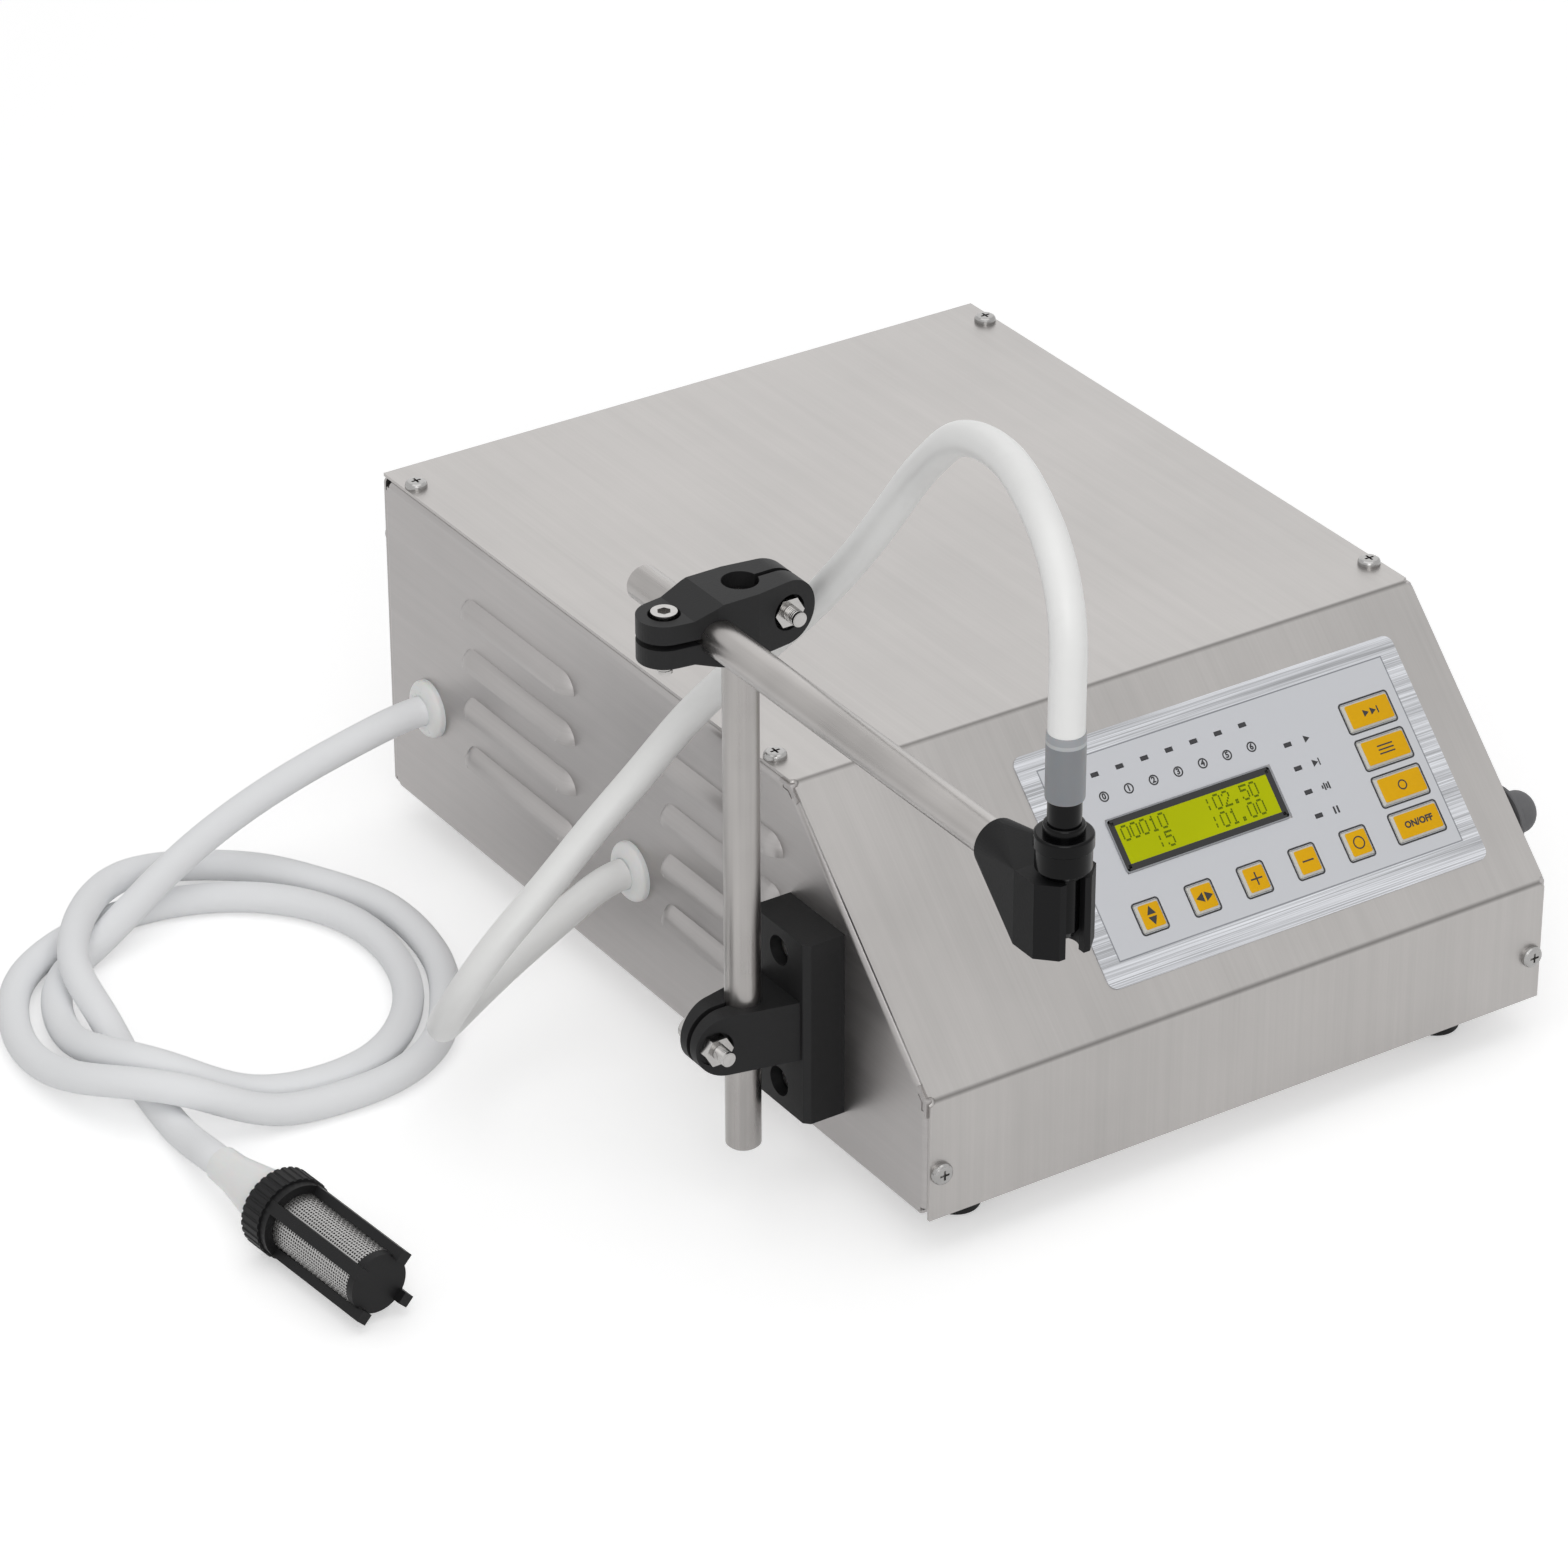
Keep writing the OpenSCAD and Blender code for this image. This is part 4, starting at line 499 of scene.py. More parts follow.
class StageSettings(bpy.types.PropertyGroup):
    camera_place: FloatVectorProperty(
        name="Camera place", description="Camera from the middle of the cabinet's base", size=3,
        default=(-1.08432, -1.55306, 1.14183), subtype="TRANSLATION", unit="LENGTH")
    azimuth: FloatProperty(
        name="Azimuth", description="Turn of the view round the machine",
        default=math.radians(-33.16), subtype="ANGLE")
    elevation: FloatProperty(
        name="Elevation", description="Height of the view above the bench",
        default=math.radians(29.84), subtype="ANGLE")
    roll: FloatProperty(
        name="Roll", description="Lean of the camera", default=math.radians(-0.14), subtype="ANGLE")
    lens: FloatProperty(
        name="Lens", description="Focal length at a 36 mm sensor", default=143.46, min=20, unit="CAMERA")
    floor_colour: FloatVectorProperty(
        name="Floor", description="Colour of the bench", size=3, default=(0.84, 0.84, 0.84),
        subtype="COLOR", min=0, max=1)
    floor_glow: FloatProperty(
        name="Floor glow", description="White added to the bench where it is seen", default=0.42, min=0)
    sky: FloatProperty(name="Sky", description="Light from all round", default=0.46, min=0, max=1)
    ceiling_power: FloatProperty(
        name="Ceiling lamp", description="Power of the lamp overhead", default=8, min=0, unit="POWER")
    back_power: FloatProperty(
        name="Back lamp", description="Power of the lamp that the top reflects", default=1.6, min=0,
        unit="POWER")
    key_power: FloatProperty(
        name="Key lamp", description="Power of the lamp at the front", default=8, min=0, unit="POWER")


class SteelSettings(bpy.types.PropertyGroup):
    cover_colour: FloatVectorProperty(
        name="Cover", description="Colour of the bent cover", size=3, default=(0.43, 0.415, 0.405),
        subtype="COLOR", min=0, max=1)
    tray_colour: FloatVectorProperty(
        name="Tray", description="Colour of the tray and the rear panel", size=3,
        default=(0.4, 0.385, 0.38), subtype="COLOR", min=0, max=1)
    roughness: FloatProperty(
        name="Roughness", description="Roughness of the sheet", default=0.36, min=0, max=1,
        subtype="FACTOR")


class HoseSettings(bpy.types.PropertyGroup):
    diameter: FloatProperty(
        name="Diameter", description="Outer diameter of the hoses", default=0.011, min=0.008, max=0.012,
        unit="LENGTH")
    step: FloatProperty(
        name="Step", description="Distance between the rings of a hose", default=0.0025, min=0.001,
        max=0.01, unit="LENGTH")
    sides: IntProperty(name="Sides", description="Points in each ring", default=28, min=12, max=64)
    colour: FloatVectorProperty(
        name="Colour", description="Colour of the milky silicone", size=3, default=(0.86, 0.86, 0.85),
        subtype="COLOR", min=0, max=1)


class PanelSettings(bpy.types.PropertyGroup):
    label_colour: FloatVectorProperty(
        name="Label", description="Colour of the silver label", size=3, default=(0.6, 0.61, 0.64),
        subtype="COLOR", min=0, max=1)
    key_colour: FloatVectorProperty(
        name="Keys", description="Colour of the key pads", size=3, default=(0.8, 0.43, 0.004),
        subtype="COLOR", min=0, max=1)
    bevel_colour: FloatVectorProperty(
        name="Key bevels", description="Colour of the keys' sides", size=3, default=(0.66, 0.65, 0.6),
        subtype="COLOR", min=0, max=1)
    display_colour: FloatVectorProperty(
        name="Display", description="Colour of the lit display", size=3, default=(0.43, 0.475, 0.001),
        subtype="COLOR", min=0, max=1)
    display_glow: FloatProperty(
        name="Display glow", description="Strength of the display's own light", default=0.12, min=0)


class StrainerSettings(bpy.types.PropertyGroup):
    wire: FloatProperty(
        name="Wire", description="Diameter of the mesh's wires", default=0.00045, min=0.0002, max=0.001,
        unit="LENGTH")
    around: IntProperty(
        name="Long wires", description="Number of wires along the strainer, side by side around it",
        default=56, min=16, max=120)
    along: IntProperty(
        name="Ring places", description="Places along the strainer, each with a ring but the two ends",
        default=44, min=8, max=100)


class FillerSettings(bpy.types.PropertyGroup):
    stage: PointerProperty(type=StageSettings, name="Stage", description="Floor, lamps and camera")
    steel: PointerProperty(type=SteelSettings, name="Steel", description="The cabinet's sheet")
    hose: PointerProperty(type=HoseSettings, name="Hoses", description="The two silicone hoses")
    panel: PointerProperty(type=PanelSettings, name="Panel", description="Label, display and keys")
    strainer: PointerProperty(type=StrainerSettings, name="Strainer", description="The wire mesh")


# Operators


def settings():
    return bpy.context.scene.filler


def give(finish, *nodes):
    """Gives the CAD nodes a finish in place of their plain material."""
    material = finish.material if isinstance(finish, Finish) else finish
    for name in nodes:
        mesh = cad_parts[name].data
        mesh.materials.clear()
        mesh.materials.append(material)


def seen_directly(tree):
    """1 for the camera's, glossy and transmitted rays, which see the background, and 0 for the light."""
    outputs = tree.nodes.new("ShaderNodeLightPath").outputs
    rays = [Wire(tree, outputs[f"Is {kind} Ray"]) for kind in ("Camera", "Glossy", "Transmission")]
    return sum(rays).math("MINIMUM", 1.0)


def soft_lamp(name, place, target, size, power):
    """A square area lamp at a place, turned to a target; both in metres from the cabinet's base."""
    data = bpy.data.lights.new(name, "AREA")
    data.size, data.energy = size, power
    place, target = Vector(CASE) + Vector(place), Vector(CASE) + Vector(target)
    turn = (target - place).to_track_quat("-Z", "Y")
    linked(name, data).matrix_world = Matrix.LocRotScale(place, turn, None)


class FILLER_OT_stage(bpy.types.Operator):
    """Makes the pale floor, the soft lamps, the even sky and the camera"""

    bl_idname = "filler.stage"
    bl_label = "Stage"

    def floor(self, s):
        """A square plane at the height of the feet, pale where the camera sees it."""
        mesh = bpy.data.meshes.new("bench")
        half = 4.0
        corners = [(-half, -half, 0), (half, -half, 0), (half, half, 0), (-half, half, 0)]
        mesh.from_pydata(corners, [], [(0, 1, 2, 3)])
        finish = Finish("bench", s.floor_colour, 0.9, Emission_Strength=1.0, Specular_IOR_Level=0.0)
        glow = seen_directly(finish.tree).mixed((0, 0, 0, 1), (s.floor_glow,) * 3 + (1,))
        finish.set("Emission Color", glow)
        mesh.materials.append(finish.material)
        linked("bench", mesh)

    def sky(self, s):
        """Even light from all round, and white where the camera sees it."""
        world = bpy.data.worlds.new("studio")
        bpy.context.scene.world = world
        world.use_nodes = True
        tree = world.node_tree
        white = seen_directly(tree).mixed((s.sky,) * 3 + (1,), (1, 1, 1, 1))
        tree.links.new(white.socket, tree.nodes["Background"].inputs["Color"])

    def camera(self, s):
        """A camera that looks along the azimuth and elevation, leaned by the roll."""
        data = bpy.data.cameras.new("camera")
        data.sensor_width, data.lens = 36.0, s.lens
        data.clip_start, data.clip_end = 0.05, 50.0
        camera = linked("camera", data)
        a, e, r = s.azimuth, s.elevation, s.roll
        back = Vector((math.sin(a) * math.cos(e), -math.cos(a) * math.cos(e), math.sin(e)))
        right = Vector((math.cos(a), math.sin(a), 0))
        up = back.cross(right)
        leaned = (right * math.cos(r) + up * math.sin(r), up * math.cos(r) - right * math.sin(r), back)
        turn = Matrix(leaned).transposed().to_4x4()
        camera.matrix_world = Matrix.Translation(Vector(CASE) + Vector(s.camera_place)) @ turn
        bpy.context.scene.camera = camera

    def execute(self, context):
        s = settings().stage
        context.scene.view_settings.view_transform = "Standard"
        self.floor(s)
        self.sky(s)
        soft_lamp("ceiling", (-0.25, -0.3, 1.8), (0, 0, 0), 1.8, s.ceiling_power)
        soft_lamp("back", (0.68, 1.0, 0.8), (0, 0, 0.1), 1.3, s.back_power)
        soft_lamp("key", (-0.9, -1.5, 1.0), (-0.05, -0.05, 0.05), 1.0, s.key_power)
        self.camera(s)
        return {"FINISHED"}


def hose_finish(s):
    """Milky silicone with faint clouds and a dull gloss. No light passes into it, because the ends of the
    joined lengths would show as dark rings."""
    return moulded("milky_silicone", s.colour, 0.36, 160, 0.05, 0.00004, Specular_IOR_Level=0.4)


class FILLER_OT_outlet_hose(bpy.types.Operator):
    """Makes the outlet hose as four joined lengths, one for each joint of the stand"""

    bl_idname = "filler.outlet_hose"
    bl_label = "Outlet hose"

    # Name, where the length ends, the two bodies, and where the bend between them starts and ends.
    LENGTHS = (
        ("outlet_hose_lower", (-125.5, -81, 190), "cabinet", "post", (-150, -45, 112), (-150, -45, 186)),
        ("outlet_hose_middle", (-121, -129, 243), "post", "clamp", (-125, -83, 192), (-121, -125, 240)),
        ("outlet_hose_riser", (-146, -231, 323.5), "clamp", "arm", (-130, -130, 242), (-130, -229, 321)),
        ("outlet_hose_drop", (-171, -302, 269), "arm", "nozzle", (-165, -233, 330), (-165, -300, 300)),
    )

    def execute(self, context):
        s = settings().hose
        finish = hose_finish(s)
        path = smooth_route(case(pulled(OUTLET_ROUTE, *OUTLET_ENDS)), (-1, 0, 0), (0, 0, -1), s.step)
        rings = tube_rings(path, s.diameter / 2, s.sides)
        start = 0
        for name, last, near, far, low, high in self.LENGTHS:
            end = int(np.linalg.norm(path - case(last), axis=1).argmin())
            tube = shell(rings[start:end + 1])
            made = piece(name, tube, finish.material, None, HOSE_SMOOTH)
            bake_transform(made)
            start = end
        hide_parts("outlet_hose")
        return {"FINISHED"}


def along_strainer(points):
    """Points drawn about Z, put on the strainer's axis, which lies on the bench and leads away from
    the hose."""
    up = np.array([0.0, 0.0, 1.0])
    turned = np.stack([np.cross(up, STRAINER_AXIS), up, STRAINER_AXIS])
    return case(STRAINER_AT + points @ turned)


class FILLER_OT_suction_hose(bpy.types.Operator):
    """Makes the suction hose in its loose turns on the bench, with the strainer's wire mesh at its end"""

    bl_idname = "filler.suction_hose"
    bl_label = "Suction hose and strainer"

    def wires(self, s):
        """Straight wires along the cylinder and rings round it, each a square section carried along and
        waved in and out so that they weave: radius + sway (1 or -1 in turn) along a straight wire and
        radius - sway cos(around a / 2 + i pi) round ring i."""
        radius, low, high = 10.0, -2.0, 49.0
        wire = s.wire / MM
        sway = 0.3 * wire
        down = np.linspace(low, high, s.along)
        corner = np.array([(1, 1), (-1, 1), (-1, -1), (1, -1)]) * wire / 2
        outward, sideways = corner[None, :, :1], corner[None, :, 1:]
        parts = []
        for k, out in enumerate(circle(s.around)):
            r = radius + sway * np.where((np.arange(s.along) + k) % 2 == 0, 1, -1)
            flat = (r[:, None, None] + outward) * out + sideways * (-out[1], out[0])
            parts.append(shell(raised(flat, down[:, None, None])))
        a = np.arange(s.around * 2) * math.pi / s.around
        for i, z in enumerate(down[1:-1]):
            r = radius - sway * np.cos(a * s.around / 2 + i * math.pi)
            flat = (r[:, None, None] + outward) * circle(s.around * 2)[:, None]
            parts.append(shell(raised(flat, z + sideways), closed=True, turned=True))
        return joined(parts)

    def execute(self, context):
        hose = settings().hose
        silicone = bpy.data.materials["milky_silicone"]
        route = pulled(SUCTION_ROUTE, SUCTION_START, STRAINER_AT - FITTING_REACH * STRAINER_AXIS)
        path = smooth_route(case(route), (-1, 0, 0), STRAINER_AXIS, hose.step)
        tube = shell(tube_rings(path, hose.diameter / 2, hose.sides))
        made = piece("suction_tube", tube, silicone, "cabinet", HOSE_SMOOTH)
        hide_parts("suction_hose")
        points, faces = self.wires(settings().strainer)
        steel = drawn_metal("mesh_wire", (0.42, 0.415, 0.41), 0.36, (500, 500, 500)).material
        mesh = piece("strainer_wires", (along_strainer(points), faces), steel, "cabinet")
        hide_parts("strainer_mesh")
        return {"FINISHED"}


def fold_lap(fold, back, ahead, side):
    """A strip of sheet bent round a fold under the cover, as a section in (y, z) drawn across x. Its
    corner at depth d is fold + d (n1 + n2) / (1 + n1 . n2), where n1 and n2 point into the cabinet."""
    leg, depths, across = 6, (1.25, 3.6), (118.0, 126.75)
    fold, back, ahead = (np.array(v, float) for v in (fold, back, ahead))
    inward = -np.array([(-back[1], back[0]), (ahead[1], -ahead[0])])
    corner = inward.sum(0) / (1 + inward[0] @ inward[1])
    outer, inner = (fold + depth * corner for depth in depths)
    section = [
        outer + leg * back, outer, outer + leg * ahead, inner + leg * ahead, inner, inner + leg * back
    ]
    points, faces = prism(section, *sorted(side * x for x in across))
    return case(points[:, [2, 0, 1]]), faces


def on_rocker(part, side):
    """Puts a part drawn in (across, up, out) on the upper face of the rear switch's rocker (side 1) or on
    its lower one (side -1). Each face rises from the rocker's middle, at the angle rise, and the whole
    rocker is turned by tilt about its pivot."""
    pivot, to_middle, from_middle = (80, 172.5, 84), 1.2, 4.3
    rise, tilt = math.atan2(2.0, 8.5), math.radians(10)
    u, v, w = np.asarray(part[0], float).T
    along = side * from_middle * math.cos(rise) + v * math.cos(rise) - side * w * math.sin(rise)
    out = to_middle + from_middle * math.sin(rise) + side * v * math.sin(rise) + w * math.cos(rise)
    up = along * math.cos(tilt) - out * math.sin(tilt)
    out = along * math.sin(tilt) + out * math.cos(tilt)
    return case(np.stack([-u, out, up], 1) + pivot), part[1]


class FILLER_OT_cabinet(bpy.types.Operator):
    """Finishes the sheet cabinet, its screws, feet, collars and the parts inside it"""

    bl_idname = "filler.cabinet"
    bl_label = "Cabinet"

    def sheets(self, s):
        """The cover and the tray, and the laps of the tray's sheet behind the cover's corners."""
        cover = drawn_metal("cover_sheet", s.cover_colour, s.roughness, (1500, 9, 9), 0.15)
        shade_folds(cover)
        tray = drawn_metal("tray_sheet", s.tray_colour, s.roughness + 0.02, (9, 11, 1300), 0.17)
        give(cover, "top_cover")
        give(tray, "base_tray", "rear_panel")
        h = HALF_ROOT
        folds = (((FOLD, TOP), (1, 0), (-h, -h)), ((FRONT, LIP), (h, h), (0, -1)))
        laps = [fold_lap(*fold, side) for side in (-1, 1) for fold in folds]
        piece("corner_laps", joined(laps), tray.material, "cabinet")

    def fittings(self):
        """Screws, feet, collars, the rubber cap and the rear inlet and switch."""
        screw = drawn_metal("screw_steel", (0.36, 0.355, 0.35), 0.2, (700, 700, 700), 0.2)
        give(screw, "foot_screws", "cover_screws", "rear_screws", "board_standoffs", "pump_screws",
             "motor_straps", "foot_switch_socket")
        rubber = moulded("foot_rubber", (0.012, 0.012, 0.0125), 0.7, 1200, 0.2, Specular_IOR_Level=0.3)
        give(rubber, "feet", "pump_diaphragm")
        white = moulded("white_moulding", (0.85, 0.85, 0.84), 0.3, 600, 0.04, 0.00002,
                        Subsurface_Weight=0.15, Subsurface_Scale=0.003)
        give(white, "inlet_collar", "outlet_collar", "collar_nuts", "pump_head", "strainer_fitting")
        give(moulded("cap_rubber", (0.13, 0.13, 0.135), 0.62, 1100, 0.15), "socket_cap")
        give(inlet_finish(), "power_inlet")
        give(moulded("switch_black", (0.02, 0.02, 0.021), 0.45), "tact_switches", "switch_body",
             "switch_rocker")

    def inside(self):
        """The board, the supply, the pump and the hoses between the pump and the collars."""
        give(bpy.data.materials["milky_silicone"], "inner_inlet_hose", "inner_outlet_hose")
        give(moulded("board_green", (0.01, 0.11, 0.035), 0.35, 1400, 0.25), "control_board")
        give(moulded("motor_paint", (0.03, 0.03, 0.032), 0.4, 700, 0.2), "pump_motor")
        give(moulded("bracket_paint", (0.2, 0.21, 0.22), 0.5, 700, 0.15), "pump_bracket")
        give(moulded("cast_aluminium", (0.42, 0.42, 0.43), 0.5, 1500, 0.15, 0.0001, 1.0),
             "crank_housing")
        give(drawn_metal("supply_sheet", (0.6, 0.6, 0.6), 0.4, (900, 14, 900)), "power_supply")

    def marks(self):
        """The I and O printed on the rear switch's rocker."""
        stroke = prism(bar(0, 0, 0.22, 1.6), 0, PRINT_HEIGHT)
        ring = printed_line(circle_outline(1.5), 0.4, PRINT_HEIGHT)
        paint = moulded("mark_white", (0.75, 0.75, 0.75), 0.4, 1500, 0.05, 0.00001)
        drawn = joined([on_rocker(stroke, 1), on_rocker(ring, -1)])
        piece("rocker_marks", drawn, paint.material, "rocker")

    def execute(self, context):
        self.sheets(settings().steel)
        self.fittings()
        self.inside()
        self.marks()
        return {"FINISHED"}


def thread(length, radius=2.5, pitch=0.8, sides=24):
    """Screw thread about Z from 0 up: radius + crest tri(height / pitch - angle / 360 degrees), where tri
    goes from 1 to -1 and back. Over the last pitch the crests go and the end draws in by taper."""
    crest, taper = 0.16, 0.35
    height = np.linspace(0, length, int(length / pitch * 8) + 1)
    turn = (height[:, None] / pitch - np.arange(sides) / sides) % 1
    wave = 4 * np.abs(turn - 0.5) - 1
    end = np.clip((length - height) / pitch, 0, 1)[:, None]
    r = radius + crest * wave * end - taper * (1 - end)
    return shell(raised(r[..., None] * circle(sides), height[:, None, None]))


class FILLER_OT_stand(bpy.types.Operator):
    """Finishes the clamp stand, and makes the sleeve between the nozzle and the hose"""

    bl_idname = "filler.stand"
    bl_label = "Stand and nozzle"

    TAIL = 5.5  # Bare length of each clamp bolt
    END_GAP = 0.06  # Length by which a thread's end face stands before its bolt's
    SLEEVE_REACH = 2.6  # Length by which the sleeve runs further up the hose than its solid
    BAND_DROP = 2.9  # From the sleeve's upper end down to its pale band

    def sleeve(self):
        """Profile of (radius, height) turned about the nozzle's axis, its wall closed on itself."""
        low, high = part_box("nozzle_sleeve")
        z0, z1 = low.z / MM, high.z / MM + self.SLEEVE_REACH
        profile = [
            (5.25, z0), (5.75, z0), (5.9, z0 + 0.5), (5.9, z1 - 3.8), (5.98, z1 - 3.2), (5.98, z1 - 2.6),
            (5.85, z1 - 2.0), (5.85, z1 - 0.6), (5.7, z1), (5.25, z1),
        ]
        points, faces = shell(lathe(profile), closed=True)
        return case(points + (*NOZZLE_AT, 0)), faces

    def sleeve_finish(self):
        """Grey translucent silicone, paler above its band and palest in it."""
        grey = Finish("grey_silicone", (0.22, 0.23, 0.245), 0.4, Subsurface_Weight=0.2,
                      Subsurface_Scale=0.003)
        height = grey.place.node("ShaderNodeSeparateXYZ", {}, {0: grey.place}, 2)
        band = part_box("nozzle_sleeve")[1].z + (self.SLEEVE_REACH - self.BAND_DROP) * MM
        in_band = 1 - abs(height - band).above(0.6 * MM)
        body = height.above(band).mixed(grey.colour, (0.34, 0.35, 0.37, 1))
        grey.set("Base Color", in_band.mixed(body, (0.46, 0.47, 0.48, 1)))
        grey.set("Roughness", grey.noise((300, 300, 300)).between(0.34, 0.5))
        return grey.material

    def threads(self, finish):
        """Threads on the bare ends of the three clamp bolts; each end is told by its bolt's box."""
        ends = (("bracket_clamp_bolt", "cabinet", 1), ("post_clamp_bolt", "clamp", 1),
                ("arm_clamp_screw", "clamp", 2))
        for name, body, axis in ends:
            low, high = (np.array(corner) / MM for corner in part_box(name))
            middle = (low + high) / 2
            points, faces = thread(self.TAIL + self.END_GAP)
            if axis == 1:
                points = points[:, [0, 2, 1]] * (1, -1, 1)
                start = (middle[0], low[1] + self.TAIL, middle[2])
            else:
                points = points * (1, -1, -1)
                start = (middle[0], middle[1], low[2] + self.TAIL)
            piece(f"{name}_thread", ((points + start) * MM, faces), finish, body, 30)

    def execute(self, context):
        rod = (0.38, 0.365, 0.355)
        # Partly painted reflection: the wide spread of light and dark bands along the rods is partly
        # their real grinding lines and partly painted streaks, standing for the dark parts mirrored in
        # the steel.
        give(drawn_metal("post_steel_lines_and_painted_streaks", rod, 0.28, (330, 330, 4), 0.42), "post", "pump_eccentric")
        give(drawn_metal("arm_steel_lines_and_painted_streaks", rod, 0.28, (330, 4, 330), 0.42), "arm")
        bolt = drawn_metal("bolt_steel", (0.46, 0.45, 0.44), 0.2, (800, 800, 800), 0.25)
        give(bolt, "bracket_nuts", "bracket_clamp_bolt", "arm_clamp_screw", "post_clamp_bolt")
        # Painted highlight: the socket screws deep in the bracket's holes get a paler steel than the
        # other bolts, standing for the bright glint on their heads.
        give(drawn_metal("socket_steel_painted_glint", (0.75, 0.74, 0.73), 0.3, (800, 800, 800), 0.2), "bracket_screws")
        clamp = moulded("clamp_nylon", (0.011, 0.011, 0.0115), 0.55, 1500, 0.3, 0.00012,
                        Specular_IOR_Level=0.25)
        give(clamp, "bracket", "cross_clamp")
        holder = moulded("holder_nylon", (0.006, 0.006, 0.0065), 0.55, 1300, 0.35, 0.0001,
                         Specular_IOR_Level=0.14)
        give(holder, "nozzle_holder")
        gloss = moulded("nozzle_black", (0.0015, 0.0015, 0.0018), 0.2, 300, 0.1, 0.00001,
                        Specular_IOR_Level=0.15)
        give(gloss, "nozzle")
        strainer = moulded("strainer_black", (0.01, 0.01, 0.0105), 0.5, 900, 0.2, Specular_IOR_Level=0.2)
        give(strainer, "strainer_cap", "strainer_cage")
        made = piece("sleeve_tube", self.sleeve(), self.sleeve_finish(), "nozzle")
        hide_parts("nozzle_sleeve")
        self.threads(bolt.material)
        return {"FINISHED"}


# The display's characters as seven rows of five dots, each row a number whose bits are its dots
DOT_ROWS = {
    "0": (14, 17, 17, 17, 17, 17, 14), "1": (4, 12, 4, 4, 4, 4, 14), "2": (14, 17, 1, 2, 4, 8, 31),
    "5": (31, 16, 30, 1, 1, 17, 14), ":": (0, 4, 4, 0, 4, 4, 0), ".": (0, 0, 0, 0, 0, 12, 12),
    " ": (0,) * 7,
}


def printed_text(text, size):
    """Plain letters or digits as a flat mesh of that size, as thick as the label's print. It is centred
    on the origin in height too."""
    curve = bpy.data.curves.new("print", "FONT")
    curve.body, curve.size, curve.extrude = text, size, LABEL_PRINT / 2
    curve.align_x, curve.align_y = "CENTER", "CENTER"
    curve.resolution_u, curve.offset = 3, 0.04 * size
    holder = linked("print", curve)
    bpy.context.view_layer.update()
    mesh = bpy.data.meshes.new_from_object(holder)
    points = np.empty(len(mesh.vertices) * 3)
    mesh.vertices.foreach_get("co", points)
    faces = [list(polygon.vertices) for polygon in mesh.polygons]
    bpy.data.objects.remove(holder)
    bpy.data.meshes.remove(mesh)
    return points.reshape(-1, 3), faces


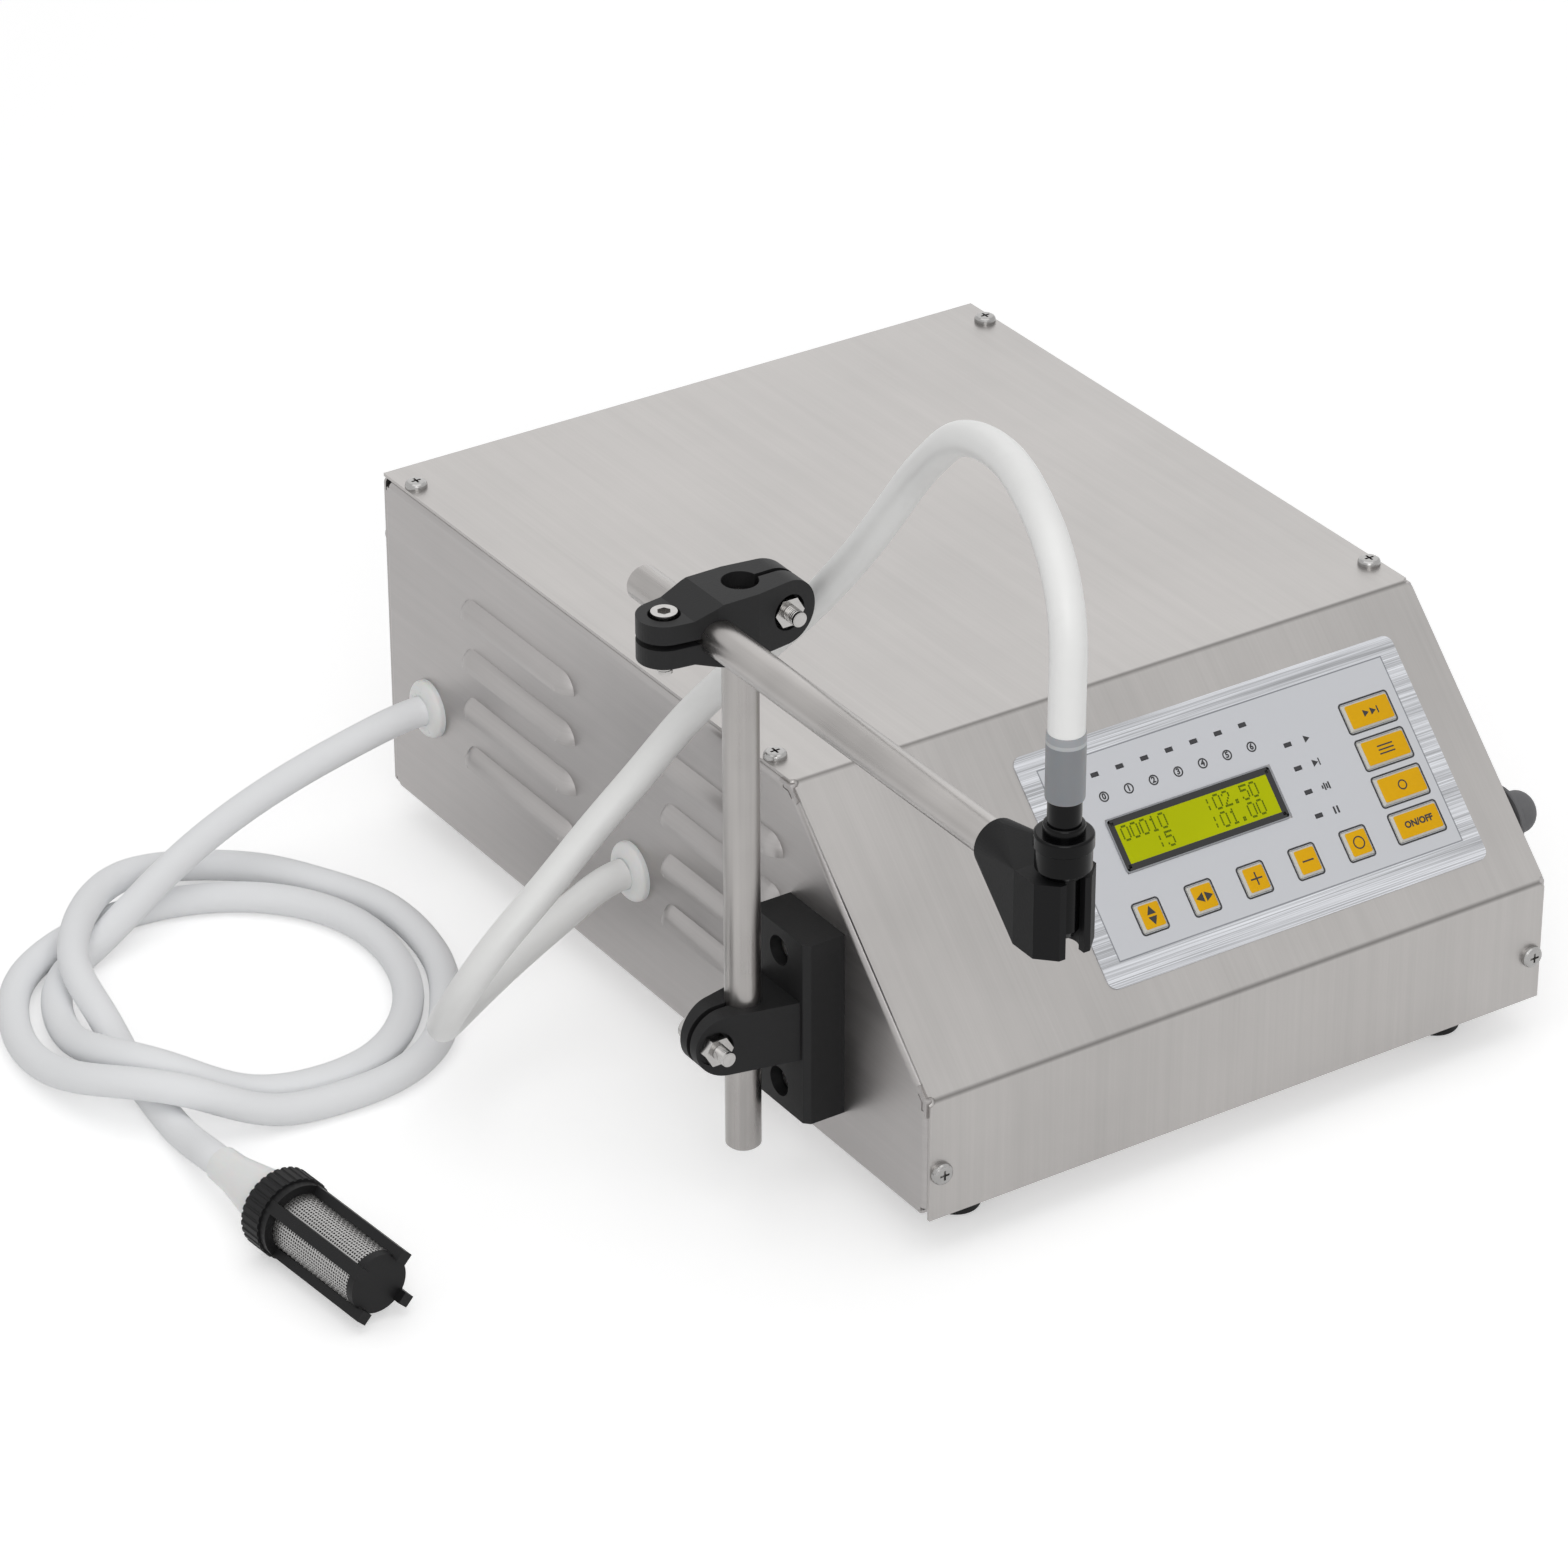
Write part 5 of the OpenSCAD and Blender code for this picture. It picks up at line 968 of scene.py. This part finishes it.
class FILLER_OT_panel(bpy.types.Operator):
    """Makes the label's print and the display with its rim, lit field and dotted digits"""

    bl_idname = "filler.panel"
    bl_label = "Label and display"

    FIELD_FACE = 0.72  # Height of the lit field

    def circled_numbers(self):
        """The digits in circles under the row of lamps."""
        first, pitch, s = -20.9, 10.1, 37.2
        parts = []
        for i, digit in enumerate("0123456"):
            x = first + pitch * i
            parts.append(on_panel(printed_line(circle_outline(1.85, 28), 0.5), x, s, LABEL_FACE))
            parts.append(on_panel(printed_text(digit, 2.9), x, s, LABEL_FACE + LABEL_PRINT / 2))
        return parts

    def lamp_signs(self):
        """The signs beside the column of lamps: go, step, work and pause."""
        x, first, pitch = 60.5, 40.5, 8.7
        signs = (
            [triangle(0.3, 0, 0, 1.5)],
            [triangle(-0.4, 0, 0, 1.5), bar(1.5, 0, 0.22, 1.3)],
            [bar(u, 0, 0.3, h) for u, h in ((-1.4, 0.6), (-0.5, 1.3), (0.4, 0.9), (1.3, 1.3))],
            [bar(-0.7, 0, 0.35, 1.3), bar(0.7, 0, 0.35, 1.3)],
        )
        parts = []
        for i, shapes in enumerate(signs):
            drawn = joined([prism(corners, 0, LABEL_PRINT) for corners in shapes])
            parts.append(on_panel(drawn, x, first + pitch * i, LABEL_FACE))
        return parts

    def display(self, s):
        """The display's raised rim, black border and lit field."""
        rim = moulding(
            rounded_outline(67.6, 19.4, 1.5),
            [(0, 0), (0, 0.75), (0.12, 0.95), (0.4, 0.95), (0.55, 0.8), (0.55, 0)], True,
        )
        pale = moulded("rim_grey", (0.3, 0.31, 0.33), 0.35, 800, 0.1, 0.00001)
        piece("display_rim", on_panel(rim, *DISPLAY_AT), pale.material, "cabinet")
        border = moulding(
            rounded_outline(66.6, 18.4, 1.0),
            [(0, 0), (0, 0.82), (2.2, 0.82), (2.3, 0.74), (2.3, 0)], True,
        )
        black = moulded("display_border", (0.012, 0.012, 0.013), 0.25, 500, 0.1, 0.00001)
        made = piece("display_border", on_panel(border, *DISPLAY_AT), black.material, "cabinet")
        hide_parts("lcd_window")
        green = Finish("display_green", s.display_colour, 0.3, Specular_IOR_Level=0.1,
                       Emission_Strength=s.display_glow)
        tone = green.shades(green.noise((30, 30, 30)), 0.14)
        green.set("Base Color", tone)
        green.set("Emission Color", tone)
        field = moulding(rounded_outline(62.4, 14.2, 0.3), [(0, 0), (0, self.FIELD_FACE)])
        piece("display_field", on_panel(field, *DISPLAY_AT), green.material, "cabinet")

    def dots(self):
        """The display's two rows of characters: dot (bit, line) of character (column, row) has its lower
        left corner at first + (column, -row) * cell + (bit, -line) * pitch."""
        first, cell, pitch = np.array([(-29.6, 5.5), (3.75, 6.4), (0.62, 0.8)])
        width, height, rise = 0.54, 0.71, 0.025
        parts = []
        for row, line_text in enumerate(("00010    :02.50 ", "   :5    :01.00 ")):
            for column, sign in enumerate(line_text):
                for line, bits in enumerate(DOT_ROWS[sign]):
                    for bit in (b for b in range(5) if bits >> (4 - b) & 1):
                        u, v = first + (column, -row) * cell + (bit, -line) * pitch
                        corners = [(u, v), (u + width, v), (u + width, v + height), (u, v + height)]
                        parts.append(prism(corners, self.FIELD_FACE, self.FIELD_FACE + rise))
        dark = moulded("dot_green", (0.1, 0.14, 0.003), 0.4, 800, 0.1, 0.00001, Specular_IOR_Level=0.1)
        drawn = on_panel(joined(parts), *DISPLAY_AT)
        piece("display_digits", drawn, dark.material, "cabinet")

    def execute(self, context):
        s = settings().panel
        give(label_finish(s), "control_label")
        give(moulded("lamp_dark", (0.03, 0.03, 0.035), 0.2, 300, 0.2, 0.00001), "status_leds")
        give(moulded("display_frame", (0.3, 0.34, 0.2), 0.4), "lcd_module")
        ink = moulded("black_ink", (0.02, 0.02, 0.022), 0.5, 1500, 0.1, 0.00001)
        signs = joined(self.circled_numbers() + self.lamp_signs())
        piece("label_signs", signs, ink.material, "cabinet")
        self.display(s)
        self.dots()
        return {"FINISHED"}


def triangle(x, y, turn, size):
    """Corners of a triangle that points along turn: middle + size (cos a, sin a), 120 degrees apart."""
    a = math.radians(turn) + np.array([0, 2, 4]) * math.pi / 3
    return np.stack([x + size * np.cos(a), y + size * np.sin(a)], 1)


def bar(x, y, width, length):
    """Corners of an upright bar, given its middle, half width and half length."""
    return [(x + a * width, y + b * length) for a, b in ((-1, -1), (1, -1), (1, 1), (-1, 1))]


class FILLER_OT_keys(bpy.types.Operator):
    """Makes the yellow pads with their signs, and the black outlines printed round the keys"""

    bl_idname = "filler.keys"
    bl_label = "Keys"

    SQUARE = ("key_up_down", "key_left_right", "key_plus", "key_minus", "key_ring")
    WIDE = ("wide_key_1", "wide_key_2", "wide_key_3", "wide_key_4")
    PAD = ((0, 0), (0, 0.12), (0.12, 0.24), (0.35, 0.3))  # Profile of a pad as (inset, height)

    def sign(self, name):
        """The sign on a key as flat raised shapes: arrows, a plus, a minus, bars, a ring or ON/OFF."""
        drawn = {
            "key_up_down": [triangle(0, 1.4, 90, 2.0), triangle(0, -1.4, 270, 2.0)],
            "key_left_right": [triangle(1.4, 0, 0, 2.0), triangle(-1.4, 0, 180, 2.0)],
            "key_plus": [bar(0, 0, 2.3, 0.28), bar(0, 1.29, 0.28, 1.01), bar(0, -1.29, 0.28, 1.01)],
            "key_minus": [bar(0, 0, 2.3, 0.28)],
            "wide_key_1": [triangle(-2.0, 0, 0, 1.5), triangle(1.0, 0, 0, 1.5), bar(3.2, 0, 0.25, 1.3)],
            "wide_key_2": [bar(0, y, 3.2, 0.25) for y in (-1.4, 0, 1.4)],
        }
        if name in drawn:
            return joined([prism(corners, 0, PRINT_HEIGHT) for corners in drawn[name]])
        if name == "wide_key_4":
            points, faces = printed_text("ON/OFF", 3.2)
            return points + (0, 0, PRINT_HEIGHT / 2), faces
        radius = 2.3 if name == "key_ring" else 1.8
        return printed_line(circle_outline(radius, 32), 0.48, PRINT_HEIGHT)

    def execute(self, context):
        s = settings().panel
        yellow = moulded("key_yellow", s.key_colour, 0.42, 900, 0.08, 0.00003, Specular_IOR_Level=0.15)
        bevel = moulded("key_bevel", s.bevel_colour, 0.35, 900, 0.05, 0.00002)
        ink = bpy.data.materials["black_ink"]
        outlines = []
        # Name, width of the pad, and place
        keys = [(name, 8.0, -23 + 21.4 * i, 79.8) for i, name in enumerate(self.SQUARE)]
        keys += [(name, 17.6, 88.0, 38.9 + 13.6 * i) for i, name in enumerate(self.WIDE)]
        for name, width, x, s_at in keys:
            give(bevel, name)
            pad = moulding(rounded_outline(width, 8.4, 0.7), self.PAD)
            piece(f"{name}_pad", on_panel(pad, x, s_at, KEY_FACE), yellow.material, name)
            sign = on_panel(self.sign(name), x, s_at, KEY_FACE + self.PAD[-1][1])
            piece(f"{name}_sign", sign, ink, name)
            line = printed_line(rounded_outline(width + 3.2, 11.7, 1.4), 0.6)
            outlines.append(on_panel(line, x, s_at, LABEL_FACE))
        piece("key_outlines", joined(outlines), ink, "cabinet")
        return {"FINISHED"}


class FILLER_PT_machine(bpy.types.Panel):
    """Settings and steps of the filling machine"""

    bl_idname = "FILLER_PT_machine"
    bl_label = "Liquid filling machine"
    bl_space_type = "VIEW_3D"
    bl_region_type = "UI"
    bl_category = "Filler"

    def draw(self, context):
        for step in STEPS:
            self.layout.operator(step.bl_idname)
        for group in ("stage", "steel", "hose", "panel", "strainer"):
            box = self.layout.box()
            values = getattr(context.scene.filler, group)
            for name in values.__annotations__:
                box.prop(values, name)


GROUPS = (StageSettings, SteelSettings, HoseSettings, PanelSettings, StrainerSettings, FillerSettings)
STEPS = (
    FILLER_OT_stage, FILLER_OT_outlet_hose, FILLER_OT_suction_hose, FILLER_OT_cabinet, FILLER_OT_stand,
    FILLER_OT_panel, FILLER_OT_keys,
)


def register():
    for item in GROUPS + STEPS + (FILLER_PT_machine,):
        bpy.utils.register_class(item)
    bpy.types.Scene.filler = PointerProperty(type=FillerSettings)


def unregister():
    del bpy.types.Scene.filler
    for item in reversed(GROUPS + STEPS + (FILLER_PT_machine,)):
        bpy.utils.unregister_class(item)


def main():
    register()
    bpy.ops.filler.stage()
    bpy.ops.filler.outlet_hose()
    bpy.ops.filler.suction_hose()
    bpy.ops.filler.cabinet()
    bpy.ops.filler.stand()
    bpy.ops.filler.panel()
    bpy.ops.filler.keys()


if __name__ == "__main__":
    main()
